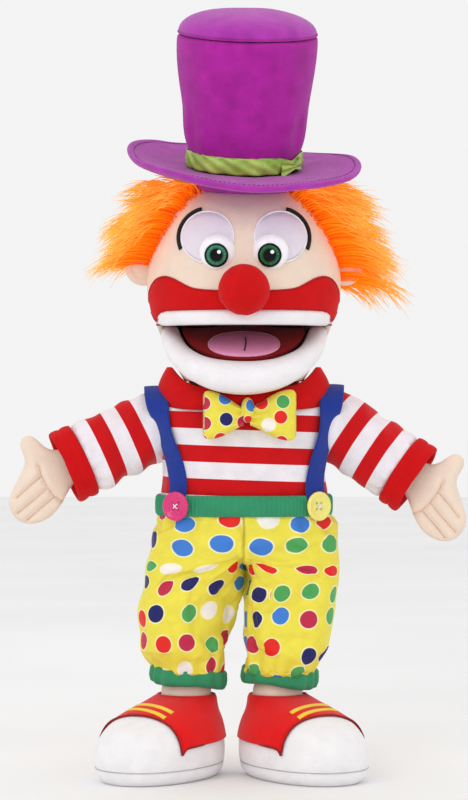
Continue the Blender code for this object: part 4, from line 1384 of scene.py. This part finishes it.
def fill_out(piece, pressure, swell, limit, held, frames=18, stiffness=12.0):
    """Blows a sewn case up as its filling does. Held points stay where they are sewn."""
    before = [vertex.co.copy() for vertex in piece.data.vertices]
    seam = piece.vertex_groups.new(name="seam")
    for index, point in enumerate(before):
        share = held(point)
        if share > 0:
            seam.add([index], min(1.0, share), "REPLACE")
    modifier = piece.modifiers.new("filling", "CLOTH")
    settings = modifier.settings
    settings.quality = 6
    settings.mass = 0.15
    settings.tension_stiffness = settings.compression_stiffness = stiffness
    settings.shear_stiffness = stiffness / 2
    settings.bending_stiffness = 0.25
    settings.use_pressure = True
    settings.uniform_pressure_force = pressure
    settings.shrink_min = -swell
    settings.vertex_group_mass = "seam"
    settings.effector_weights.gravity = 0
    modifier.collision_settings.use_collision = False
    modifier.point_cache.frame_start, modifier.point_cache.frame_end = 1, frames
    for moment in range(1, frames + 1):
        bpy.context.scene.frame_set(moment)
    relax = piece.modifiers.new("relax", "SMOOTH")
    relax.factor, relax.iterations = 0.5, 3
    settle(piece)
    bpy.context.scene.frame_set(1)
    for vertex, start in zip(piece.data.vertices, before):
        move = vertex.co - start
        if move.length > limit:
            vertex.co = start + move.normalized() * limit
    piece.vertex_groups.clear()
    return piece


def leg_middle(sign, z):
    down = max(0.0, min(1.0, (HIP_Z - z) / (HIP_Z - ANKLE_Z)))
    full = math.exp(-(((z + 0.243) / 0.030) ** 2))
    return Vector((sign * HIP_X + LEG_LEAN * down - 0.0035 * full, HIP_Y, z))


def evenly(path, count):
    """The given number of points at equal steps along a path."""
    lengths = [0.0]
    for a, b in zip(path, path[1:]):
        lengths.append(lengths[-1] + (b - a).length)
    made = []
    for k in range(count):
        want = lengths[-1] * k / (count - 1)
        i = max(1, next((n for n, v in enumerate(lengths) if v >= want - 1e-9), len(path) - 1))
        share = (want - lengths[i - 1]) / max(lengths[i] - lengths[i - 1], 1e-9)
        made.append(path[i - 1].lerp(path[i], share))
    return made


def trouser_ring(sign, z, half_x, half_y, share):
    """A ring round one half. Share goes from 0, a half of the trunk, to 1, a round leg."""
    ring = []
    half = []
    for k in range(181):
        c, s = math.cos(math.radians(k - 90)), math.sin(math.radians(k - 90))
        x = half_x * abs(c) ** (2 / 2.5)
        y = half_y * math.copysign(abs(s) ** (2 / 2.5), s)
        half.append(Vector((sign * max(x, 0.0006), TRUNK_Y + y, z)))
    half = evenly(half, 46)
    middle = leg_middle(sign, z)
    for k in range(72):
        if k < 46:
            round_turn = math.radians(-112 + 224 * k / 45)
            trunk = half[k]
        else:
            part = (k - 45) / 27
            round_turn = math.radians(112 + 136 * part)
            trunk = Vector((sign * 0.0006, TRUNK_Y + half_y * math.cos(math.pi * part), z))
        c, s = math.cos(round_turn), math.sin(round_turn)
        leg = middle + Vector((sign * c * half_x, s * half_y, 0))
        ring.append(trunk.lerp(leg, share))
    return ring


trouser_print = dotted("trouser_print", 0.0238, 0.0142)
def sewn_down(point):
    """Full hold at the waist, at the hem and along the centre seam, and none between."""
    seam = abs(point.x) < 0.0012 and point.z > -0.200
    return 1.0 if point.z > -0.161 or point.z < -0.2885 or seam else 0


for side, sign in SIDES.items():
    rings = [
        trouser_ring(sign, -0.1555, 0.0700, 0.0428, 0.0),
        trouser_ring(sign, -0.1600, 0.0712, 0.0440, 0.0),
        trouser_ring(sign, -0.1680, 0.0715, 0.0455, 0.0),
        trouser_ring(sign, -0.1800, 0.0722, 0.0465, 0.0),
        trouser_ring(sign, -0.1920, 0.0728, 0.0460, 0.0),
    ]
    crotch = zip(trouser_ring(sign, -0.2030, 0.0735, 0.0445, 0.0),
                 trouser_ring(sign, -0.2030, 0.0370, 0.0410, 1.0))
    rings.append([a.lerp(b, 0.5) for a, b in crotch])
    for z, half_x, half_y in (
        (-0.2140, 0.0365, 0.0390), (-0.2260, 0.0370, 0.0380), (-0.2410, 0.0372, 0.0370),
        (-0.2580, 0.0362, 0.0358), (-0.2700, 0.0345, 0.0340), (-0.2790, 0.0318, 0.0315),
        (-0.2860, 0.0300, 0.0300), (-0.2890, 0.0288, 0.0288), (-0.2908, 0.0262, 0.0262),
    ):
        rings.append(trouser_ring(sign, z, half_x, half_y, 1.0))
    columns = [finer([tuple(ring[k]) for ring in rings], 4) for k in range(72)]
    rows = [[Vector(column[r]) for column in columns] for r in range(len(columns[0]))]
    for r, row in enumerate(rows):
        z = row[0].z
        middle = leg_middle(sign, z)
        tight = math.exp(-(((z + 0.157) / 0.010) ** 2)) + math.exp(-(((z + 0.290) / 0.012) ** 2))
        for k, point in enumerate(row):
            out = Vector((point.x - middle.x, point.y - middle.y, 0)).normalized()
            gather = 0.0013 * tight * math.sin(math.tau * 15 * k / 72 + 2 * sign)
            crease = noise.noise(Vector((point.x * 20, point.y * 20, z * 55 + sign)))
            if abs(point.x) > 0.002:
                point += out * (gather + 0.0034 * crease)
    leg = wrap(f"{side}_trouser_leg", rows, trouser_print)
    for corner in leg.data.uv_layers["cloth"].data:
        corner.uv[0] += 0.41 + 0.37 * sign
    smooth(leg, 1)
    fill_out(leg, 1.2, 0.09, 0.0065, sewn_down)
    thicken(leg, 0.0012, even=False)
    hip = Vector((sign * HIP_X, HIP_Y, HIP_Z))
    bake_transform(leg)
    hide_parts(f"{side}_trouser_leg", *(["trouser_seat"] if sign > 0 else []))

seam_path = [(0.0, -0.0285, -0.160), (0.0, -0.0312, -0.168), (0.0, -0.0322, -0.180)]
seam_path += [(0.0, -0.0316, -0.190), (0.0, -0.0285, -0.197)]
seam = rope("trouser_seam", finer(seam_path, 4), 0.0007, satin_thread("yellow_thread", "C9B93A"))
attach(seam, "torso")

green_binding = cloth("green_binding", dye("2F8F62"), fibre=0.0011, nap=0.4, mottle=0.06, rough=0.7)
for side, sign in SIDES.items():
    hip = Vector((sign * HIP_X, HIP_Y, HIP_Z))
    ankle = Vector((sign * HIP_X + LEG_LEAN, HIP_Y, ANKLE_Z))
    leg_frame = Matrix.Translation(hip) @ along_frame(hip - ankle, (1, 0, 0))
    rows = []
    for radius, height in (
        (0.0250, -0.0785), (0.0272, -0.0782), (0.0286, -0.0800), (0.0292, -0.0850),
        (0.0293, -0.0890), (0.0284, -0.0920), (0.0266, -0.0930), (0.0246, -0.0915),
        (0.0240, -0.0850),
    ):
        row = []
        for k in range(160):
            turn = math.tau * k / 160
            ruffle = 0.0009 * math.sin(15 * turn + 3 * math.sin(2 * turn)) if radius > 0.026 else 0
            swing = 0.0012 * math.sin(3 * turn + sign)
            out = radius + ruffle
            spot = (out * 1.1 * math.cos(turn), out * math.sin(turn), height + swing)
            row.append(leg_frame @ Vector(spot))
        rows.append(row)
    rows.append(rows[0])
    binding = wrap(f"{side}_trouser_cuff", rows, green_binding)
    weld(binding)
    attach(binding, f"{side}_leg")
    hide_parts(f"{side}_trouser_cuff")


# ---- Sleeves and cuffs -----------------------------------------------------------------------
# Striped jersey tubes with a loose filling, set into the shirt below the shoulders. Each ends in
# a red cuff that is turned back in two bands.
SHOULDER, DROOP, WRIST = (0.084, 0.014, -0.088), {"left": 33.9, "right": 24.6}, 0.072
ARM_FRAMES = {}
for side, sign in SIDES.items():
    droop, level = math.radians(DROOP[side]), math.cos(math.radians(10))
    direction = (
        sign * math.cos(droop) * level,
        -math.sin(math.radians(10)),
        -math.sin(droop) * level,
    )
    up = (sign * math.sin(droop), 0, math.cos(droop))
    shoulder = Vector((sign * SHOULDER[0], SHOULDER[1], SHOULDER[2]))
    ARM_FRAMES[side] = Matrix.Translation(shoulder) @ along_frame(direction, up)
    rings = (
        (-0.0340, 0.0230, 0.0200), (-0.0240, 0.0265, 0.0225), (-0.0130, 0.0290, 0.0240),
        (0.0000, 0.0295, 0.0240), (0.0140, 0.0290, 0.0235), (0.0300, 0.0293, 0.0236),
        (0.0450, 0.0298, 0.0240), (0.0530, 0.0290, 0.0234), (0.0570, 0.0262, 0.0210),
    )
    rows, places = [], []
    for along, half_up, half_deep in finer(rings, 4):
        row = []
        for k in range(72):
            turn = math.tau * k / 72
            c, s = math.cos(turn), math.sin(turn)
            fold = noise.noise(Vector((c * 1.1, s * 1.1 + sign, along * 75 + c * 0.9)))
            fold *= 0.0036 if along > -0.01 else 0.0012
            gather = 0.0008 * math.exp(-(((along - 0.055) / 0.008) ** 2)) * math.sin(16 * turn)
            out = 1 + (fold + gather) / half_up
            row.append(ARM_FRAMES[side] @ Vector((half_up * c * out, half_deep * s * out, along)))
        rows.append(row)
        places.append(along)
    sleeve_jersey = striped(f"{side}_sleeve_jersey", 0.0354, 0.0268)
    sleeve = wrap(f"{side}_sleeve", rows, sleeve_jersey, along=places)
    smooth(sleeve, 1)
    thicken(sleeve, 0.0014)
    start, end = ARM_FRAMES[side] @ Vector((0, 0, -0.020)), ARM_FRAMES[side] @ Vector((0, 0, 0.018))
    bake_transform(sleeve)
    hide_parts(f"{side}_sleeve")

    rows = []
    for radius, along in (
        (0.0264, 0.0560), (0.0300, 0.0556), (0.0314, 0.0570), (0.0318, 0.0605), (0.0314, 0.0640),
        (0.0303, 0.0652), (0.0315, 0.0664), (0.0320, 0.0700), (0.0316, 0.0735), (0.0296, 0.0748),
        (0.0268, 0.0738), (0.0258, 0.0650),
    ):
        row = []
        for k in range(96):
            turn = math.tau * k / 96
            wave = 0.0008 * noise.noise(Vector((math.cos(turn), math.sin(turn), along * 60)) * 2.2)
            out = radius + wave
            spot = Vector((out * math.cos(turn), 0.8 * out * math.sin(turn), along + wave))
            row.append(ARM_FRAMES[side] @ spot)
        rows.append(row)
    rows.append(rows[0])
    cuff = wrap(f"{side}_cuff", rows, red_felt)
    weld(cuff)
    smooth(cuff, 1)
    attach(cuff, f"{side}_arm")
    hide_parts(f"{side}_cuff")


# ---- Hands -----------------------------------------------------------------------------------
# Flat mittens in peach fleece, turned and filled. Lines of stitches through both layers draw
# the fingers and the edge of the palm.
outline = [(-0.012, -0.0135), (0.000, -0.0150), (0.008, -0.0195), (0.018, -0.0275)]
outline += [(0.030, -0.0330), (0.043, -0.0330), (0.0530, -0.0280), (0.0578, -0.0190)]
outline += [(0.0575, -0.0090), (0.0520, -0.0010), (0.0440, 0.0060), (0.0370, 0.0125)]
outline += [(0.0320, 0.0185), (0.0300, 0.0260), (0.0285, 0.0330), (0.0235, 0.0380)]
outline += [(0.0175, 0.0375), (0.0135, 0.0320), (0.0105, 0.0240), (0.0050, 0.0175)]
outline += [(-0.004, 0.0150), (-0.012, 0.0135)]
finger_lines = [
    [(0.0232, 0.0015), (0.0360, -0.0020), (0.0490, -0.0062)],
    [(0.0224, -0.0095), (0.0370, -0.0138), (0.0540, -0.0182)],
    [(0.0203, -0.0186), (0.0340, -0.0222), (0.0490, -0.0268)],
    [(0.0215, 0.0105), (0.0232, 0.0015), (0.0224, -0.0095), (0.0203, -0.0186), (0.0153, -0.0253)],
]
peach_thread = satin_thread("peach_thread", "E0BFA4")
for side, sign in SIDES.items():
    wrist = ARM_FRAMES[side] @ Matrix.Translation((0, 0, WRIST))
    soft = finer(outline, 3)
    rows = [[(t, y, s) for s, t in soft] for y in (-0.0080, 0.0080)]
    hand = wrap(f"{side}_hand", rows, peach_fleece, ends=(True, True))
    for kind, settings in (
        ("REMESH", {"mode": "VOXEL", "voxel_size": 0.0022}),
        ("SMOOTH", {"factor": 0.6, "iterations": 14}),
    ):
        modifier = hand.modifiers.new(kind.lower(), kind)
        for option, value in settings.items():
            setattr(modifier, option, value)
    settle(hand)
    hand.data.materials.clear()
    hand.data.materials.append(peach_fleece)
    fill_out(hand, 3.0, 0.0, 0.005, lambda p: 1.0 if p.z < -0.006 else 0.0, frames=14)
    smooth(hand, 1)
    for vertex in hand.data.vertices:
        spot = Vector((vertex.co.z, vertex.co.x))
        near = 1.0
        for line in finger_lines:
            for a, b in zip(line, line[1:]):
                a, b = Vector(a), Vector(b)
                share = max(0.0, min(1.0, (spot - a).dot(b - a) / (b - a).length_squared))
                near = min(near, (spot - a.lerp(b, share)).length)
        vertex.co.y -= math.copysign(0.0024, vertex.co.y) * math.exp(-((near / 0.0022) ** 2))
    bpy.context.view_layer.update()
    surface = BVHTree.FromObject(hand, bpy.context.evaluated_depsgraph_get())
    for number, line in enumerate(finger_lines):
        for face in (-1, 1):
            path = []
            for s, t in finer(line, 5):
                start = Vector((t, face * 0.1, s))
                hit, normal, _, _ = surface.ray_cast(start, Vector((0, -face, 0)))
                if hit:
                    path.append(hit + normal * 0.0001)
            thread = rope(f"{side}_finger_line_{number}_{face + 1}", path, 0.0005, peach_thread)
            thread.data.transform(wrist)
            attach(thread, f"{side}_hand")
    hand.data.transform(wrist)
    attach(hand, f"{side}_hand")
    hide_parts(f"{side}_hand")


# ---- Ankles ----------------------------------------------------------------------------------
# Short filled peach tubes between the trousers' bindings and the shoes.
TOE_OUT, SOLE = math.radians(34), -0.374
FOOT_FRAMES = {}
for side, sign in SIDES.items():
    ankle = Vector((sign * HIP_X + LEG_LEAN, HIP_Y, ANKLE_Z))
    FOOT_FRAMES[side] = Matrix.Translation(ankle) @ Matrix.Rotation(sign * TOE_OUT, 4, "Z")
    profile = [(0.0205, -0.0030), (0.0212, 0.0010), (0.0210, 0.0060), (0.0192, 0.0120)]
    profile += [(0.0150, 0.0170), (0.0090, 0.0200), (0.0001, 0.0210)]
    tube = turned(f"{side}_ankle", profile, peach_fleece)
    for vertex in tube.data.vertices:
        lump = 1 + 0.025 * noise.noise(vertex.co * 55)
        vertex.co.x *= lump
        vertex.co.y *= lump
    smooth(tube, 1)
    tube.data.transform(FOOT_FRAMES[side])
    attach(tube, f"{side}_foot")
    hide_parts(f"{side}_ankle")


# ---- Shoes -----------------------------------------------------------------------------------
# Big soft trainers: a white canvas toe, sides and sole over firm filling, a red felt upper sewn
# on with a dark edge, and two yellow bars for laces.
SHOE_RINGS = (  # height above the sole, half width, toe, heel
    (0.0000, 0.0370, -0.0950, 0.0220),
    (0.0060, 0.0430, -0.1005, 0.0260),
    (0.0180, 0.0450, -0.1020, 0.0275),
    (0.0320, 0.0440, -0.0980, 0.0270),
    (0.0440, 0.0390, -0.0860, 0.0255),
    (0.0520, 0.0320, -0.0680, 0.0245),
    (0.0580, 0.0270, -0.0460, 0.0240),
    (0.0625, 0.0240, -0.0290, 0.0235),
    (0.0645, 0.0220, -0.0230, 0.0225),
)
white_canvas = cloth("white_canvas", dye("F3F1F3"), fibre=0.0012, nap=0.5, mottle=0.03, sheen=0.15)
dark_red_thread = satin_thread("dark_red_thread", "8E0D12")
grey_thread = satin_thread("grey_thread", "BDB9BF")
yellow_felt = cloth("yellow_felt", dye("F7D63E"), fibre=0.0010, nap=0.4, mottle=0.05)
bright_red_felt = cloth("bright_red_felt", dye("E60208"), fibre=0.0012, nap=0.4, mottle=0.05)


def shoe_rows(grow=0.0):
    rows = []
    for height, half_width, toe, heel in finer(SHOE_RINGS, 4):
        middle, half = (toe + heel) / 2, (heel - toe) / 2
        level = SOLE - ANKLE_Z + height + (grow if height > 0.064 else 0.0)
        outline = oval(half_width + grow, half + grow, 96, 2.15)
        row = [Vector((x, middle + y, level)) for x, y in outline]
        for point in row:
            if 0.004 < height < 0.060:
                out = Vector((point.x, point.y - middle, 0)).normalized()
                point += out * 0.0009 * noise.noise(point * 38)
                point += out * -0.0010 * math.exp(-(((height - 0.0115) / 0.0016) ** 2))
        rows.append(row)
    return rows


for side, sign in SIDES.items():
    foot = FOOT_FRAMES[side]
    body = wrap(f"{side}_shoe", shoe_rows(), white_canvas, ends=(True, True))
    layer = wrap(f"{side}_shoe_upper", shoe_rows(0.0003), bright_red_felt, ends=(True, True))
    bpy.context.view_layer.update()
    surface = BVHTree.FromObject(layer, bpy.context.evaluated_depsgraph_get())
    bm = bmesh.new()
    bm.from_mesh(layer.data)
    caps = [face for face in bm.faces if len(face.verts) > 4]
    bmesh.ops.delete(bm, geom=caps, context="FACES")
    bm.to_mesh(layer.data)
    bm.free()
    thicken(layer, 0.0016, 1.0)
    side_line = [(-0.065, -0.040), (-0.060, -0.0352), (-0.040, -0.0338), (0.040, -0.0320)]
    corners = [*side_line, (0.040, 0.010), (-0.065, 0.010)]
    rows = [[(x, y, z) for y, z in corners] for x in (-0.060, 0.060)]
    cut(layer, wrap("upper_cut", rows, bright_red_felt, ends=(True, True)), "INTERSECT")
    half = []
    for y, z in finer(side_line[:3], 8)[::-1]:
        hit, normal, _, _ = surface.ray_cast(Vector((0.2, y, z)), Vector((-1, 0, 0)))
        half.append(hit + normal * 0.0012)
    back = []
    for k in range(19):
        turn = math.radians(18 + 72 * k / 18)
        aim = Vector((0.2 * math.cos(turn), 0.004 + 0.2 * math.sin(turn), -0.0325))
        hit, normal, _, _ = surface.ray_cast(aim, Vector((-aim.x, 0.004 - aim.y, 0)).normalized())
        back.append(hit + normal * 0.0012)
    top = []
    for k in range(17):
        x = half[-1].x * 0.985 * (1 - k / 16)
        hit, normal, _, _ = surface.ray_cast(Vector((x, -0.0652, 0.1)), Vector((0, 0, -1)))
        if hit and hit.z > -0.0395:
            top.append(hit + normal * 0.0012)
    right = back[::-1] + half + top
    left = [Vector((-p.x, p.y, p.z)) for p in reversed(right)]
    border = rope(f"{side}_upper_edge", right + left[1:-1], 0.0009, dark_red_thread, closed=True)
    pieces = [(layer, f"{side}_shoe_upper"), (border, f"{side}_shoe_upper")]

    sole_line = []
    for k in range(96):
        turn = math.tau * k / 96
        aim = Vector((0.3 * math.cos(turn), -0.037 + 0.3 * math.sin(turn), SOLE - ANKLE_Z + 0.0115))
        hit, normal, _, _ = surface.ray_cast(aim, Vector((-aim.x, -0.037 - aim.y, 0)).normalized())
        sole_line.append(hit)
    pieces.append(
        (rope(f"{side}_sole_seam", sole_line, 0.0005, grey_thread, closed=True), f"{side}_shoe")
    )
    for number, y in enumerate((-0.0560, -0.0455)):
        rows = []
        for edge in range(5):
            row = []
            for k in range(21):
                x = 0.0215 * (k / 10 - 1)
                aim = Vector((x, y + 0.0024 * (edge / 2 - 1) + 0.0045 * x / 0.0215 * sign, 0.1))
                hit, normal, _, _ = surface.ray_cast(aim, Vector((0, 0, -1)))
                row.append(hit + normal * (0.0024 if 0 < edge < 4 else 0.0019))
            rows.append(row)
        lace = thicken(wrap(f"{side}_lace_{number}", rows, yellow_felt, closed=False), 0.0010)
        pieces.append((lace, f"{side}_shoe_upper"))
    pieces.append((body, f"{side}_shoe"))
    for piece, name in pieces:
        piece.data.transform(foot)
        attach(piece, f"{side}_foot")
    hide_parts(f"{side}_shoe")
    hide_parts(f"{side}_shoe_upper")


# ---- Studio ----------------------------------------------------------------------------------
# The puppet stands on a plain white floor under soft lamps.
floor_paint = bpy.data.materials.new("floor_paint")
floor_paint.use_nodes = True
tree = floor_paint.node_tree
shader = tree.nodes["Principled BSDF"]
where = add(tree, "TexCoord").outputs["Object"]
grain = add(tree, "TexNoise", Vector=where, Scale=3.0, Detail=2.0)
tone = between(tree, grain.outputs["Fac"], 0.3, 0.7, 0.96, 1.0)
white = add(tree, "HueSaturation", Value=tone, Color=(0.92, 0.92, 0.92, 1.0))
tree.links.new(white.outputs["Color"], shader.inputs["Base Color"])
shader.inputs["Roughness"].default_value = 0.8
corners = [(-6, -6, SOLE - 0.0003), (6, -6, SOLE - 0.0003), (6, 6, SOLE - 0.0003)]
corners.append((-6, 6, SOLE - 0.0003))
floor = sew("floor", corners, [(0, 1, 2, 3)], floor_paint)

for name, place, size, power in (
    ("key_lamp", (-1.1, -1.7, 1.3), 1.2, 9),
    ("fill_lamp", (1.5, -1.5, 0.6), 1.5, 2.5),
    ("top_lamp", (0.2, 0.2, 1.9), 1.2, 3),
):
    light = bpy.data.lights.new(name, "AREA")
    light.energy = power
    light.size = size
    lamp = bpy.data.objects.new(name, light)
    lamp.location = place
    toward = Vector((0, 0, -0.05)) - Vector(place)
    lamp.rotation_euler = toward.to_track_quat("-Z", "Y").to_euler()
    bpy.context.scene.collection.objects.link(lamp)

bpy.context.scene.view_settings.view_transform = "Standard"

world = bpy.data.worlds.new("studio")
world.use_nodes = True
backdrop = world.node_tree.nodes["Background"]
backdrop.inputs["Color"].default_value = (1.0, 1.0, 1.0, 1.0)
backdrop.inputs["Strength"].default_value = 0.90
bpy.context.scene.world = world

VIEW_ANGLE, CAMERA_AWAY, CAMERA_HEIGHT = 18.1, 2.1, -0.0616
lens = bpy.data.cameras.new("camera")
lens.sensor_fit = "VERTICAL"
lens.angle_y = math.radians(VIEW_ANGLE)
lens.shift_x = -0.0125
camera = bpy.data.objects.new("camera", lens)
camera.matrix_world = Matrix.Translation((0.0, -CAMERA_AWAY, CAMERA_HEIGHT))
camera.matrix_world @= Matrix.Rotation(math.radians(90), 4, "X")
bpy.context.scene.collection.objects.link(camera)
bpy.context.scene.camera = camera
